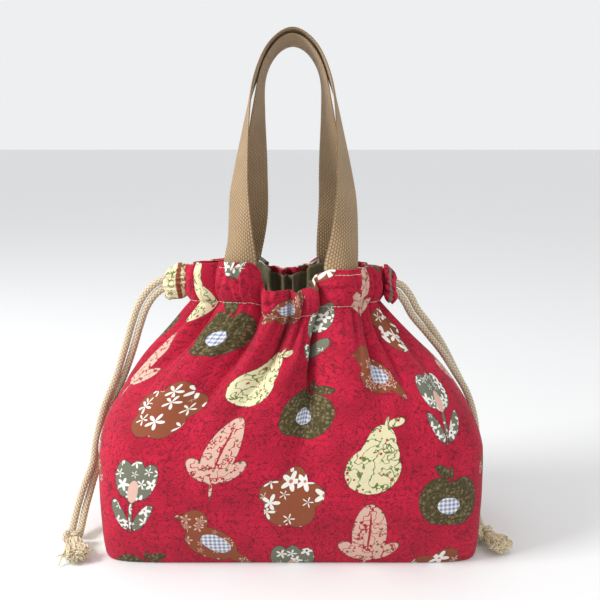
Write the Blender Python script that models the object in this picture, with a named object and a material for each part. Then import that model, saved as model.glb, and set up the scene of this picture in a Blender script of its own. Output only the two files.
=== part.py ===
"""Gathered cotton bento bag: printed outer cloth, lining, two webbing handles and two drawcords.

Lengths are in metres. +Z is up, the bag's front faces -Y, and its flat base stands on z = 0.
The cloth is described by rings round the bag. Each place on a ring is a share of one turn,
which starts at the left side and runs along the front, the right side and the back.
"""

import math

import bmesh
import bpy
import numpy as np
from mathutils import Vector

# Outer cloth
BASE_WIDTH = 0.264
BASE_DEPTH = 0.118
BELLY_WIDTH = 0.276
BELLY_DEPTH = 0.144
NECK_WIDTH = 0.142
NECK_DEPTH = 0.076
NECK_SHIFT = -0.003
BODY_HEIGHT = 0.174
CASING_HEIGHT = 0.023
CLOTH = 0.0020

# Gathers
FOLD_DEPTH = 0.011
FOLD_WIDTH_NECK = 0.0042
FOLD_WIDTH_BELLY = 0.020
PUFF = 0.0030
RIM_LIFT = 0.012
RIM_BLEND = 0.006
COLUMNS_PER_PLEAT = 4

# Lining
LINING = 0.0012
LINING_GAP = 0.0014
FLOOR_GAP = 0.0004
LINING_SETBACK = 0.0015
LINING_SKIPPED_RINGS = (1, 3, 5)

# Handles
STRAP_WIDTH = 0.025
STRAP_THICKNESS = 0.0018
STRAP_CLEARANCE = 0.0009
STRAP_EASE = 0.0030
STRAP_TUCK = 0.015
FRONT_HANDLE_RISE = 0.164
REAR_HANDLE_RISE = 0.160
HANDLE_SPREAD = 0.037
HANDLE_TOP_X = 0.0015
HANDLE_TOP_Y = 0.005
HANDLE_RINGS = 27
STRAP_LINES = np.array((-0.5, -0.165, 0.165, 0.5))

# Drawcords and their ends
CORD = 0.0055
CORD_SPACING = 0.0060
CORD_STEP = 0.0145
CORD_ROOM = 0.0023
SEAT_GAP = 0.0003
KNOT_WIDTH = 0.0150
KNOT_HEIGHT = 0.0135
KNOT_LOBE = 0.10
TUFT_SPREAD = 0.018
TUFT_ROUND = 0.006
LOCK_SIDES = 5
LOCK_FLATNESS = 0.62
CASING_END_WALL = 0.0024
CASING_END_LEFT = 0.0140
CASING_END_RIGHT = 0.0060
CASING_END_FLUTES = 7
CASING_END_FLUTE = 0.22

# Rings of the body from the base up: height as a share of BODY_HEIGHT, then how far the width and
# the depth have gone from the end size (base or neck) to the belly's, and how square the ring is.
BODY_RINGS = (
    # height, width, depth, squareness
    (0.00, 0.00, 0.00, 10.0),
    (0.07, 0.25, 0.35, 8.5),
    (0.15, 0.45, 0.65, 7.0),
    (0.28, 0.80, 0.95, 5.3),
    (0.43, 1.00, 1.00, 4.3),
    (0.53, 0.94, 0.92, 3.7),
    (0.71, 0.67, 0.67, 3.0),
    (0.79, 0.51, 0.52, 2.8),
    (0.87, 0.31, 0.35, 2.5),
    (0.94, 0.14, 0.15, 2.3),
    (1.00, 0.00, 0.00, 2.2),
)
WIDEST_RING = 4

# Rings of the casing above the stitch line: rise as a share of CASING_HEIGHT, puff as a share of
# PUFF, and the depth of the folds as a share of their depth at the stitch line.
CASING_RINGS = (
    # rise, puff, folds
    (0.22, 0.80, 0.80),
    (0.55, 1.00, 0.75),
    (0.86, 0.60, 0.90),
    (1.00, 0.10, 1.00),
)

# Pleats round the neck. Each row is the valley where a pleat starts: its place on the flat cloth
# and round the neck as shares of a turn, its depth as a share of FOLD_DEPTH, how far it runs down
# as a share of BODY_HEIGHT, and how far the pleat's top edge stands up as a share of RIM_LIFT.
PLEATS = (
    # cloth, neck, depth, reach, lift
    (0.010, 0.045, 0.70, 0.50, 0.65),
    (0.070, 0.098, 0.80, 0.45, 0.85),
    (0.135, 0.192, 0.90, 0.60, -0.75),
    (0.172, 0.256, 0.90, 0.55, -0.90),
    (0.212, 0.288, 0.60, 0.25, -0.60),
    (0.252, 0.328, 1.20, 0.75, 0.40),
    (0.325, 0.421, 0.90, 0.55, 0.35),
    (0.362, 0.450, 0.80, 0.45, 0.30),
    (0.402, 0.482, 0.70, 0.45, 0.20),
    (0.490, 0.515, 0.50, 0.30, 0.10),
    (0.540, 0.555, 0.70, 0.40, 0.20),
    (0.585, 0.590, 0.90, 0.60, 0.50),
    (0.655, 0.682, 0.80, 0.50, -0.10),
    (0.700, 0.727, 0.70, 0.30, -0.30),
    (0.750, 0.767, 0.90, 0.65, -0.20),
    (0.800, 0.808, 0.80, 0.40, 0.60),
    (0.865, 0.898, 0.90, 0.60, 0.35),
    (0.910, 0.945, 0.70, 0.45, 0.35),
    (0.955, 0.992, 0.60, 0.40, 0.40),
)
FOLD_START = 0.25
MOST_SLANT = 1.7
LEAST_RING_RISE = 0.0001
LEFT_STRAP_PLEATS = (1, 15)
RIGHT_STRAP_PLEATS = (5, 11)

# Free run of each handle from a leg to the top: rise as a share of the handle's rise above the
# rim, distance from the middle as a share of HANDLE_SPREAD, depth as a share of the way from the
# rim to HANDLE_TOP_Y, and how far the strap has turned edge-on.
FRONT_HANDLE = (
    # rise, spread, depth, turn in degrees
    (0.17, 1.00, 0.13, 38.0),
    (0.37, 0.99, 0.33, 57.0),
    (0.62, 0.87, 0.58, 76.0),
    (0.80, 0.72, 0.76, 87.0),
    (0.94, 0.43, 0.94, 90.0),
    (1.00, 0.00, 1.00, 90.0),
)
REAR_HANDLE = (
    (0.23, 0.80, 0.22, 38.0),
    (0.44, 0.74, 0.48, 52.0),
    (0.70, 0.66, 0.80, 74.0),
    (0.86, 0.56, 0.94, 86.0),
    (0.96, 0.32, 1.00, 90.0),
    (1.00, 0.00, 1.00, 90.0),
)
STRAP_LEAN = 0.25
STRAP_FLAT_AFTER = 0.16

# Routes of the two drawcords from inside the casing's end to the knot, chosen point by point.
LEFT_ROUTE = (
    (-0.0785, 0.000, 0.1900),
    (-0.0900, 0.000, 0.1880),
    (-0.0998, 0.000, 0.1822),
    (-0.1080, 0.001, 0.1710),
    (-0.1140, 0.003, 0.1560),
    (-0.1200, 0.005, 0.1380),
    (-0.1285, 0.007, 0.1150),
    (-0.1405, 0.010, 0.0900),
    (-0.1478, 0.010, 0.0630),
    (-0.1500, 0.008, 0.0470),
    (-0.1545, 0.002, 0.0320),
    (-0.1575, -0.008, 0.0190),
    (-0.1580, -0.020, 0.0100),
    (-0.1575, -0.0276, 0.0075),
)
RIGHT_ROUTE = (
    (0.0730, 0.002, 0.1845),
    (0.0785, 0.003, 0.1832),
    (0.0850, 0.005, 0.1755),
    (0.0915, 0.009, 0.1640),
    (0.1020, 0.014, 0.1510),
    (0.1145, 0.022, 0.1340),
    (0.1265, 0.029, 0.1140),
    (0.1385, 0.032, 0.0920),
    (0.1455, 0.034, 0.0680),
    (0.1465, 0.035, 0.0480),
    (0.1455, 0.035, 0.0300),
    (0.1440, 0.030, 0.0140),
    (0.1425, 0.021, 0.0070),
    (0.1412, 0.007, 0.0042),
    (0.1405, -0.009, 0.0046),
    (0.1405, -0.0215, 0.0070),
)

# Middle of each knot, and where its frayed ends reach.
LEFT_KNOT = (-0.1572, -0.0365, 0.0075)
LEFT_TUFT_END = (-0.1490, -0.0600)
RIGHT_KNOT = (0.1405, -0.0298, 0.0075)
RIGHT_TUFT_END = (0.1500, -0.0460)

# Frayed locks from the knot outwards: half width of a lock at even distances along it, and for
# each lock the height of its tip above the floor and how far its middle is bent up.
LOCK_HALF_WIDTHS = (0.0026, 0.0028, 0.0024, 0.0013)
LOCK_TIPS = (
    # tip height, bend
    (0.0019, 0.0015),
    (0.0049, 0.0030),
    (0.0019, 0.0045),
    (0.0049, 0.0015),
    (0.0019, 0.0030),
    (0.0049, 0.0045),
)

# Outside of a puckered casing end: share of its length, and its wall as a share of CASING_END_WALL.
CASING_END_RINGS = (
    # share, wall
    (0.00, 1.7),
    (0.35, 2.3),
    (0.75, 1.9),
    (1.00, 0.9),
)

# How far each pair of strands has turned about its route, in degrees, at even distances along it.
LEFT_TURNS = (90.0, 90.0, 80.0, 50.0, 20.0, 20.0, 60.0, 90.0)
RIGHT_TURNS = (90.0, 80.0, 40.0, 10.0, 20.0, 60.0, 90.0, 90.0)


# Small helpers

def eased(share):
    """0 to 1 with a gentle start and end."""
    share = np.clip(share, 0.0, 1.0)
    return share * share * (3.0 - 2.0 * share)


def smooth_curve(points, count):
    """Points at even distances along a smooth curve through the given ones."""
    points = np.asarray(points, float)
    padded = np.vstack([2 * points[0] - points[1], points, 2 * points[-1] - points[-2]])
    fine = []
    for start in range(len(points) - 1):
        before, here, there, after = padded[start:start + 4]
        for step in np.linspace(0.0, 1.0, 12, endpoint=False):
            fine.append(0.5 * (
                2 * here
                + (there - before) * step
                + (2 * before - 5 * here + 4 * there - after) * step ** 2
                + (3 * here - before - 3 * there + after) * step ** 3
            ))
    fine = np.array(fine + [points[-1]])
    length = np.concatenate([[0.0], np.cumsum(np.linalg.norm(np.diff(fine, axis=0)[:, :3], axis=1))])
    wanted = np.linspace(0.0, length[-1], count)
    return np.column_stack([np.interp(wanted, length, fine[:, axis]) for axis in range(fine.shape[1])])


def unit(vectors):
    return vectors / np.linalg.norm(vectors, axis=-1, keepdims=True)


def material(name, colour, roughness):
    made = bpy.data.materials.new(name)
    made.use_nodes = True
    shader = made.node_tree.nodes["Principled BSDF"]
    shader.inputs["Base Color"].default_value = (*colour, 1.0)
    shader.inputs["Roughness"].default_value = roughness
    shader.inputs["Metallic"].default_value = 0.0
    return made


def finish_object(name, mesh_data, finish):
    """A smooth-shaded object of its own from a bmesh."""
    bmesh.ops.recalc_face_normals(mesh_data, faces=mesh_data.faces)
    mesh = bpy.data.meshes.new(name)
    mesh_data.to_mesh(mesh)
    mesh_data.free()
    mesh.shade_smooth()
    mesh.set_sharp_from_angle(angle=math.radians(50))
    mesh.materials.append(finish)
    made = bpy.data.objects.new(name, mesh)
    bpy.context.scene.collection.objects.link(made)
    return made


def loft(name, rings, finish, ends="capped"):
    """A closed body drawn through rings of as many points each, capped or joined end to end."""
    rings = np.asarray(rings, float)
    body = bmesh.new()
    column = body.verts.layers.int.new("column")
    bmesh.ops.create_circle(body, segments=rings.shape[1], radius=1.0)
    body.verts.ensure_lookup_table()
    for index, vertex in enumerate(body.verts):
        vertex[column] = index
        vertex.co = Vector(rings[0, index])
    first = edge = list(body.edges)
    for ring in rings[1:]:
        grown = bmesh.ops.extrude_edge_only(body, edges=edge)["geom"]
        edge = [item for item in grown if isinstance(item, bmesh.types.BMEdge) and item.is_boundary]
        for vertex in {end for item in edge for end in item.verts}:
            vertex.co = Vector(ring[vertex[column]])
    if ends == "capped":
        bmesh.ops.contextual_create(body, geom=first)
        bmesh.ops.contextual_create(body, geom=edge)
    else:
        bmesh.ops.bridge_loops(body, edges=first + edge)
    return finish_object(name, body, finish)


# The cloth's shape

def ring_outline(half_width, half_depth, squareness):
    """Angles round a rounded-square ring, with the share of a turn along its edge at each."""
    angles = np.linspace(math.pi, 3 * math.pi, 721)
    radii = ring_radius(angles, half_width, half_depth, squareness)
    steps = np.hypot(np.diff(radii * np.cos(angles)), np.diff(radii * np.sin(angles)))
    length = np.concatenate([[0.0], np.cumsum(steps)])
    return angles, length / length[-1], length[-1]


def ring_radius(angles, half_width, half_depth, squareness):
    across = np.abs(np.cos(angles) / half_width) ** squareness
    along = np.abs(np.sin(angles) / half_depth) ** squareness
    return (across + along) ** (-1.0 / squareness)


def neck_perimeter():
    return ring_outline(NECK_WIDTH / 2, NECK_DEPTH / 2, BODY_RINGS[-1][3])[2]


def pleat_columns():
    """The place of each column of cloth, on the flat cloth and round the neck."""
    rows = np.array(PLEATS)
    after = np.vstack([rows[1:], rows[:1] + (1.0, 1.0, 0.0, 0.0, 0.0)])
    shares = np.arange(COLUMNS_PER_PLEAT) / COLUMNS_PER_PLEAT
    cloth = (rows[:, :1] + (after[:, :1] - rows[:, :1]) * shares).ravel()
    neck = (rows[:, 1:2] + (after[:, 1:2] - rows[:, 1:2]) * shares).ravel()
    return cloth, neck


def rim_lift(neck, perimeter):
    """How far the top edge stands up at each place round the neck."""
    rows = np.array(PLEATS)
    lift = np.full(len(neck), rows[-1, 4])
    for start, before, here in zip(rows[:, 1], np.roll(rows[:, 4], 1), rows[:, 4]):
        away = (neck - start) * perimeter / RIM_BLEND
        lift += (here - before) * eased(0.5 + 0.5 * away)
    wrapped = (neck - 1.0 - rows[0, 1]) * perimeter / RIM_BLEND
    lift += (rows[0, 4] - rows[-1, 4]) * eased(0.5 + 0.5 * wrapped)
    return lift * RIM_LIFT


def fold_inset(place, valleys, perimeter, height):
    """How far the cloth lies inside the ring at each place, from every valley near it."""
    rows = np.array(PLEATS)
    grown = np.clip((height - FOLD_START) / (1.0 - FOLD_START), 0.0, 1.0)
    width = FOLD_WIDTH_BELLY + (FOLD_WIDTH_NECK - FOLD_WIDTH_BELLY) * grown
    inset = np.zeros(len(place))
    for valley, depth, reach in zip(valleys, rows[:, 2], rows[:, 3]):
        fade = eased((height - (1.0 - reach)) / reach)
        away = np.abs((place - valley + 0.5) % 1.0 - 0.5) * perimeter / width
        inset += depth * fade * np.exp(-away ** 1.5)
    return inset * FOLD_DEPTH


def cloth_rings():
    """Radius, angle, height and centre of the outer cloth, for each ring and column."""
    cloth, neck = pleat_columns()
    valley_cloth, valley_neck = np.array(PLEATS)[:, :2].T
    rings = []
    for index, (height, wide, deep, square) in enumerate(BODY_RINGS):
        lower = index < WIDEST_RING
        end_width, end_depth = (BASE_WIDTH, BASE_DEPTH) if lower else (NECK_WIDTH, NECK_DEPTH)
        rings.append((
            height,
            height * BODY_HEIGHT,
            end_width + (BELLY_WIDTH - end_width) * wide,
            end_depth + (BELLY_DEPTH - end_depth) * deep,
            square,
            1.0,
            0.5 * eased((height - 0.6) / 0.4),
        ))
    neck_square = BODY_RINGS[-1][3]
    for rise, puff, folds in CASING_RINGS:
        rings.append((
            1.0,
            BODY_HEIGHT + rise * CASING_HEIGHT,
            NECK_WIDTH + 2 * PUFF * puff,
            NECK_DEPTH + 2 * PUFF * puff,
            neck_square,
            folds,
            0.5 + 0.5 * rise,
        ))
    table = []
    for height, level, width, depth, square, folds, lifted in rings:
        angles, shares, perimeter = ring_outline(width / 2, depth / 2, square)
        gathered = max(0.0, (height - FOLD_START) / (1.0 - FOLD_START)) ** 2
        place = cloth + (neck - cloth) * gathered
        valleys = valley_cloth + (valley_neck - valley_cloth) * gathered
        turned = np.interp(place % 1.0, shares, angles)
        radius = ring_radius(turned, width / 2, depth / 2, square)
        radius = radius - folds * fold_inset(place, valleys, perimeter, height)
        z = level + lifted * rim_lift(neck, perimeter)
        centre = np.full(len(place), NECK_SHIFT * eased((height - 0.4) / 0.6))
        table.append((radius, turned, z, centre))
    return np.array(table).transpose(1, 0, 2)


def slant(radius, turned, z):
    """How much longer than its thickness a wall is along the radius, where it slopes."""
    turn = np.roll(turned, -1, axis=1) - np.roll(turned, 1, axis=1)
    turn = (turn + math.pi) % (2 * math.pi) - math.pi
    round_slope = (np.roll(radius, -1, axis=1) - np.roll(radius, 1, axis=1)) / (radius * turn)
    up_slope = np.gradient(radius, axis=0) / np.maximum(np.gradient(z, axis=0), LEAST_RING_RISE)
    up_slope = np.clip(up_slope, -1.0, 1.0)
    return np.minimum(np.sqrt(1.0 + round_slope ** 2 + up_slope ** 2), MOST_SLANT)


def cloth_points(offset, floor=None, top_setback=0.0):
    """The cloth's rings moved inwards by an offset, from a floor height up to its top edge."""
    radius, turned, z, centre = cloth_rings()
    inner = radius - offset * slant(radius, turned, z)
    if floor is not None:
        z = z.copy()
        z[0] = floor
        z[-1] -= top_setback
    return np.stack([centre + inner * np.cos(turned), inner * np.sin(turned), z], axis=-1)


def strap_room():
    """Extra depth of the lining behind the straps, for each ring and column."""
    cloth, neck = pleat_columns()
    rows = np.array(PLEATS)
    starts, ends = rows[:, 1], np.append(rows[1:, 1], rows[0, 1] + 1.0)
    perimeter = neck_perimeter()
    near = np.zeros(len(neck))
    for pleat in LEFT_STRAP_PLEATS + RIGHT_STRAP_PLEATS:
        outside = np.maximum(starts[pleat] - neck, neck - ends[pleat]) * perimeter
        near = np.maximum(near, 1.0 - eased(outside / RIM_BLEND))
    room = STRAP_THICKNESS + 2 * STRAP_CLEARANCE + STRAP_EASE - LINING_GAP
    up = np.zeros(len(BODY_RINGS) + len(CASING_RINGS))
    up[len(BODY_RINGS):] = 1.0
    return up[:, None] * near[None, :] * room


# The pieces

def make_bag_shell(finish):
    outside = cloth_points(0.0)
    inside = cloth_points(CLOTH, floor=CLOTH)
    return loft("bag_shell", np.concatenate([outside, inside[::-1]]), finish)


def make_lining(finish):
    offset = CLOTH + LINING_GAP + strap_room()
    floor = CLOTH + FLOOR_GAP
    outside = cloth_points(offset, floor, LINING_SETBACK)
    inside = cloth_points(offset + LINING, floor + LINING, LINING_SETBACK)
    rows = [row for row in range(len(outside)) if row not in LINING_SKIPPED_RINGS]
    return loft("lining", np.concatenate([outside[rows], inside[rows][::-1]]), finish)


def on_grid(grid, ring, column):
    """A point of the cloth between its rings and columns."""
    low, left = int(min(ring, len(grid) - 2)), int(column)
    up, across = ring - low, column - left
    count = grid.shape[1]
    lower = grid[low, left % count] * (1 - across) + grid[low, (left + 1) % count] * across
    upper = grid[low + 1, left % count] * (1 - across) + grid[low + 1, (left + 1) % count] * across
    return lower * (1 - up) + upper * up


def strap_foot(pleat, side):
    """Lines across a strap where it is sewn in behind the casing, from its end up to the rim."""
    grid = cloth_points(CLOTH + STRAP_CLEARANCE + 0.5 * STRAP_THICKNESS)
    start, end = PLEATS[pleat][1], PLEATS[pleat + 1][1]
    half = 0.5 * STRAP_WIDTH / ((end - start) * neck_perimeter()) * COLUMNS_PER_PLEAT
    middle = (pleat + 0.5) * COLUMNS_PER_PLEAT
    top = len(grid) - 1
    stitch = len(BODY_RINGS) - 1
    ring_tops = grid[stitch:, int(middle), 2]
    lines = []
    for depth in (STRAP_TUCK, STRAP_TUCK / 2, 0.0):
        level = np.interp(ring_tops[-1] - depth, ring_tops, np.arange(stitch, top + 1))
        lines.append([on_grid(grid, level, middle + 2 * side * half * part) for part in STRAP_LINES])
    return np.array(lines)


def strap_rings(lines, ahead):
    """Flat four-sided bands of the strap's thickness round the given lines across it."""
    edge = unit(lines[:, -1] - lines[:, 0])
    face = unit(np.cross(ahead, edge))
    half = 0.5 * STRAP_THICKNESS * face[:, None, :]
    return np.concatenate([lines + half, (lines - half)[:, ::-1]], axis=1)


def make_handle(name, left, right, rows, rise, finish):
    """A webbing handle: both feet behind the rim and one arch between them."""
    lean = 1.0 if PLEATS[left][1] < 0.5 else -1.0
    feet = [strap_foot(left, 1.0), strap_foot(right, -1.0)]
    halves = []
    for side, foot in zip((-1.0, 1.0), feet):
        base = foot[-1].mean(axis=0)
        route = [(*base, *unit(foot[-1, -1] - foot[-1, 0]))]
        for up, spread, deep, turn in rows:
            angle = math.radians(turn)
            across = -side * lean * math.cos(angle)
            route.append((
                HANDLE_TOP_X + side * HANDLE_SPREAD * spread,
                base[1] + (HANDLE_TOP_Y - base[1]) * deep,
                BODY_HEIGHT + CASING_HEIGHT + rise * up,
                across,
                -math.sin(angle),
                STRAP_LEAN * math.sin(angle),
            ))
        halves.append(route)
    curve = smooth_curve(halves[0] + halves[1][-2::-1], HANDLE_RINGS)
    centre, edge = curve[:, :3], curve[:, 3:]
    ahead = unit(np.gradient(centre, axis=0))
    edge = unit(edge - (edge * ahead).sum(axis=1, keepdims=True) * ahead)
    shares = STRAP_LINES * STRAP_WIDTH
    lines = centre[:, None, :] + edge[:, None, :] * shares[None, :, None]
    walked = np.linspace(0.0, 1.0, HANDLE_RINGS)
    for foot, along in zip(feet, (walked, 1.0 - walked)):
        straight = foot[-1].mean(axis=0) + np.outer(shares, unit(foot[-1, -1] - foot[-1, 0]))
        lines += (foot[-1] - straight)[None] * (1.0 - eased(along / STRAP_FLAT_AFTER))[:, None, None]
    lines = np.concatenate([feet[0][:2], lines, feet[1][1::-1]])
    ahead = unit(np.gradient(lines.mean(axis=1), axis=0))
    return loft(name, strap_rings(lines, ahead), finish)


def make_casing_end(name, side, length, route, finish):
    """The puckered end of the casing, a short fluted sleeve round the start of a drawcord."""
    start, after = pair_centre(route)[:2]
    slope = (after - start) / (after[0] - start[0])
    casing = cloth_points(0.0)[len(BODY_RINGS):, :, 0]
    root = side * ((side * casing).max() + SEAT_GAP)
    half_depth = CORD / 2 + CORD_ROOM
    half_height = half_depth + CORD_SPACING / 2
    angles = np.linspace(0.0, 2 * math.pi, 4 * CASING_END_FLUTES, endpoint=False)
    flutes = CASING_END_WALL * (1.0 + CASING_END_FLUTE * np.cos(CASING_END_FLUTES * angles))
    rings = []
    for share, wall in CASING_END_RINGS + ((1.0, 0.0), (0.0, 0.0)):
        middle = start + slope * (root + side * length * share - start[0])
        across = (half_depth + wall * flutes) * np.cos(angles)
        up = (half_height + wall * flutes) * np.sin(angles)
        rings.append(middle + np.column_stack([np.zeros(len(angles)), across, up]))
    return loft(name, rings, finish, ends="joined")


def pair_centre(route):
    """Points at even distances along the route of a pair of strands."""
    count = int(np.linalg.norm(np.diff(route, axis=0), axis=1).sum() / CORD_STEP) + 1
    return smooth_curve(route, count)


def strand_points(route, turns, side):
    """One of the two strands that a drawcord shows, beside the route of the pair."""
    centre = pair_centre(route)
    count = len(centre)
    ahead = unit(np.gradient(centre, axis=0))
    first = [np.array([0.0, 1.0, 0.0])]
    for direction in ahead:
        carried = first[-1] - direction * (first[-1] @ direction)
        first.append(unit(carried))
    first = np.array(first[1:])
    second = np.cross(ahead, first)
    turned = np.interp(np.linspace(0, 1, count), np.linspace(0, 1, len(turns)), turns)
    turned = np.radians(turned)[:, None]
    beside = first * np.cos(turned) + second * np.sin(turned)
    return centre + side * 0.5 * CORD_SPACING * beside


def make_strand(name, points, finish):
    curve = bpy.data.curves.new(name, "CURVE")
    curve.dimensions = "3D"
    curve.bevel_depth = CORD / 2
    curve.bevel_resolution = 2
    curve.use_fill_caps = True
    spline = curve.splines.new("POLY")
    spline.points.add(len(points) - 1)
    for target, point in zip(spline.points, points):
        target.co = (*point, 1.0)
    curve.materials.append(finish)
    made = bpy.data.objects.new(name, curve)
    bpy.context.scene.collection.objects.link(made)
    return made


def make_lock(name, start, tip, bend, across, finish):
    """One flattened, tapering lock of frayed cord, bent up in its middle."""
    middle = 0.5 * (start + tip) + np.array([0.0, 0.0, bend])
    line = smooth_curve([start, middle, tip], len(LOCK_HALF_WIDTHS))
    angles = np.linspace(0.0, 2 * math.pi, LOCK_SIDES, endpoint=False)
    outline = np.outer(np.cos(angles), across)
    outline += np.outer(np.sin(angles), (0.0, 0.0, LOCK_FLATNESS))
    rings = [point + half * outline for point, half in zip(line, LOCK_HALF_WIDTHS)]
    return loft(name, rings, finish)


def make_knot(name, centre, tuft_end, finish):
    """An overhand knot as a lobed ball, with the frayed ends as bent locks fused to it."""
    centre = np.array(centre)
    ahead = unit(np.array((*tuft_end, centre[2])) - centre)
    across = unit(np.cross([0.0, 0.0, 1.0], ahead))
    head = bmesh.new()
    bmesh.ops.create_uvsphere(head, u_segments=14, v_segments=8, radius=0.5)
    for vertex in head.verts:
        x, y, z = vertex.co
        lobed = KNOT_WIDTH * (1.0 + KNOT_LOBE * math.cos(2 * math.atan2(y, x) + 5 * z))
        vertex.co = centre + (ahead * x + across * y) * lobed + np.array([0.0, 0.0, z * KNOT_HEIGHT])
    knot = finish_object(name, head, finish)
    for index, (height, bend) in enumerate(LOCK_TIPS):
        share = index / (len(LOCK_TIPS) - 1) - 0.5
        tip = np.array((*tuft_end, height))
        tip += across * share * TUFT_SPREAD - ahead * abs(share) * TUFT_ROUND
        start = centre + across * share * 0.5 * KNOT_WIDTH
        lock = make_lock(f"{name}_lock_{index}", start, tip, bend, across, finish)
        lock.hide_render = True
        lock.display_type = "WIRE"
        fuse = knot.modifiers.new(f"lock_{index}", "BOOLEAN")
        fuse.operation = "UNION"
        fuse.solver = "EXACT"
        fuse.object = lock
    return knot


def main():
    for item in list(bpy.data.objects):
        bpy.data.objects.remove(item, do_unlink=True)
    printed = material("printed_cotton", (0.56, 0.013, 0.045), 0.85)
    lining = material("lining_cotton", (0.075, 0.066, 0.034), 0.90)
    webbing = material("cotton_webbing", (0.42, 0.28, 0.14), 0.80)
    cord = material("cotton_cord", (0.60, 0.50, 0.33), 0.85)
    make_bag_shell(printed)
    make_lining(lining)
    left_front, left_rear = LEFT_STRAP_PLEATS
    right_front, right_rear = RIGHT_STRAP_PLEATS
    make_handle("front_handle", left_front, right_front, FRONT_HANDLE, FRONT_HANDLE_RISE, webbing)
    make_handle("rear_handle", left_rear, right_rear, REAR_HANDLE, REAR_HANDLE_RISE, webbing)
    make_casing_end("casing_end_left", -1.0, CASING_END_LEFT, LEFT_ROUTE, printed)
    make_casing_end("casing_end_right", 1.0, CASING_END_RIGHT, RIGHT_ROUTE, printed)
    for strand, side in (("upper", 1.0), ("lower", -1.0)):
        make_strand(f"left_cord_{strand}", strand_points(LEFT_ROUTE, LEFT_TURNS, side), cord)
        make_strand(f"right_cord_{strand}", strand_points(RIGHT_ROUTE, RIGHT_TURNS, side), cord)
    make_knot("left_knot", LEFT_KNOT, LEFT_TUFT_END, cord)
    make_knot("right_knot", RIGHT_KNOT, RIGHT_TUFT_END, cord)


main()
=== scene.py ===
# %% [markdown]
# # A gathered cotton lunch bag
#
# This lesson dresses a small drawstring lunch bag. A plain solid model of it, made first, gives every
# size and place. The cloth, the webbing, the cords and their knots are then made here as fine meshes
# that lie where the plain solids lie, and each gets a finish built from shader nodes.

# %% Load the plain model
import math

import bmesh
import bpy
import numpy as np
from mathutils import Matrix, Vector


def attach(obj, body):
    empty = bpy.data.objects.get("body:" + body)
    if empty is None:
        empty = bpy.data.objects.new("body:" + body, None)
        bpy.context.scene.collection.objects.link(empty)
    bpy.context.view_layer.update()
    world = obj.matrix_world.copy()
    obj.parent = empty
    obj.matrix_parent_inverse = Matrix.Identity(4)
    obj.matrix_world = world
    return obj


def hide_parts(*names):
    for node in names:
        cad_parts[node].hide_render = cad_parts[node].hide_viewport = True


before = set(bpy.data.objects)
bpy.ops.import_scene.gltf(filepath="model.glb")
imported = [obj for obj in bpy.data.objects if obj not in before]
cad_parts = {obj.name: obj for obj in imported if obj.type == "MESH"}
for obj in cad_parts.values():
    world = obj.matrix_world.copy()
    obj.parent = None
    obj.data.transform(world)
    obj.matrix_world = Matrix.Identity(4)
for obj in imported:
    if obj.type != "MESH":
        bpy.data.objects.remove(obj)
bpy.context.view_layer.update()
print("plain solids:", ", ".join(sorted(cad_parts)))

# %% [markdown]
# ## The camera
#
# The picture was taken from a little above the mouth of the bag, square to its front. The camera
# comes first, because the cords are judged by what it sees.

# %% Camera
CAMERA_PLACE = (0.0065, -0.586, 0.288)
CAMERA_DROP = 10.9
LENS = 49.3
SENSOR = 36.0

camera_data = bpy.data.cameras.new("camera")
camera_data.lens = LENS
camera_data.sensor_width = SENSOR
camera = bpy.data.objects.new("camera", camera_data)
camera.location = CAMERA_PLACE
camera.rotation_euler = (math.radians(90.0 - CAMERA_DROP), 0.0, 0.0)
bpy.context.scene.collection.objects.link(camera)
bpy.context.scene.camera = camera
print("camera at", CAMERA_PLACE)

# %% [markdown]
# ## Sizes of the bag
#
# The cloth is described by rings round the bag, from the base up. A place on a ring is a share of one
# turn that starts at the left side and runs along the front, the right side and the back. The cloth is
# cut straight, so the same share means the same thread all the way up, and the gathers only push the
# threads together. Most of these sizes are the plain model's own, so that the fine cloth lies on it. The
# casing swells a little less here and its folds run deeper, and one pleat at the front is deeper too.

# %% Sizes of the cloth, in metres
BASE_WIDTH = 0.264
BASE_DEPTH = 0.118
BELLY_WIDTH = 0.276
BELLY_DEPTH = 0.144
NECK_WIDTH = 0.142
NECK_DEPTH = 0.076
NECK_SHIFT = -0.003
BODY_HEIGHT = 0.174
CASING_HEIGHT = 0.023
FOLD_DEPTH = 0.011
FOLD_WIDTH_NECK = 0.0042
FOLD_WIDTH_BELLY = 0.020
FOLD_START = 0.25
PUFF = 0.0026
RIM_LIFT = 0.012
RIM_BLEND = 0.006

# height as a share of BODY_HEIGHT, then how far width and depth have gone from the end size (base or
# neck) to the belly's, and how square the ring is
BODY_RINGS = np.array((
    (0.00, 0.00, 0.00, 10.0),
    (0.07, 0.25, 0.35, 8.5),
    (0.15, 0.45, 0.65, 7.0),
    (0.28, 0.80, 0.95, 5.3),
    (0.43, 1.00, 1.00, 4.3),
    (0.53, 0.94, 0.92, 3.7),
    (0.71, 0.67, 0.67, 3.0),
    (0.79, 0.51, 0.52, 2.8),
    (0.87, 0.31, 0.35, 2.5),
    (0.94, 0.14, 0.15, 2.3),
    (1.00, 0.00, 0.00, 2.2),
))
WIDEST_HEIGHT = 0.43

# rise above the stitch line as a share of CASING_HEIGHT, puff as a share of PUFF, fold depth
CASING_RINGS = np.array((
    (0.00, 0.00, 1.00),
    (0.22, 0.70, 1.02),
    (0.55, 1.00, 1.08),
    (0.86, 0.80, 1.12),
    (1.00, 0.40, 1.15),
))

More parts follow.
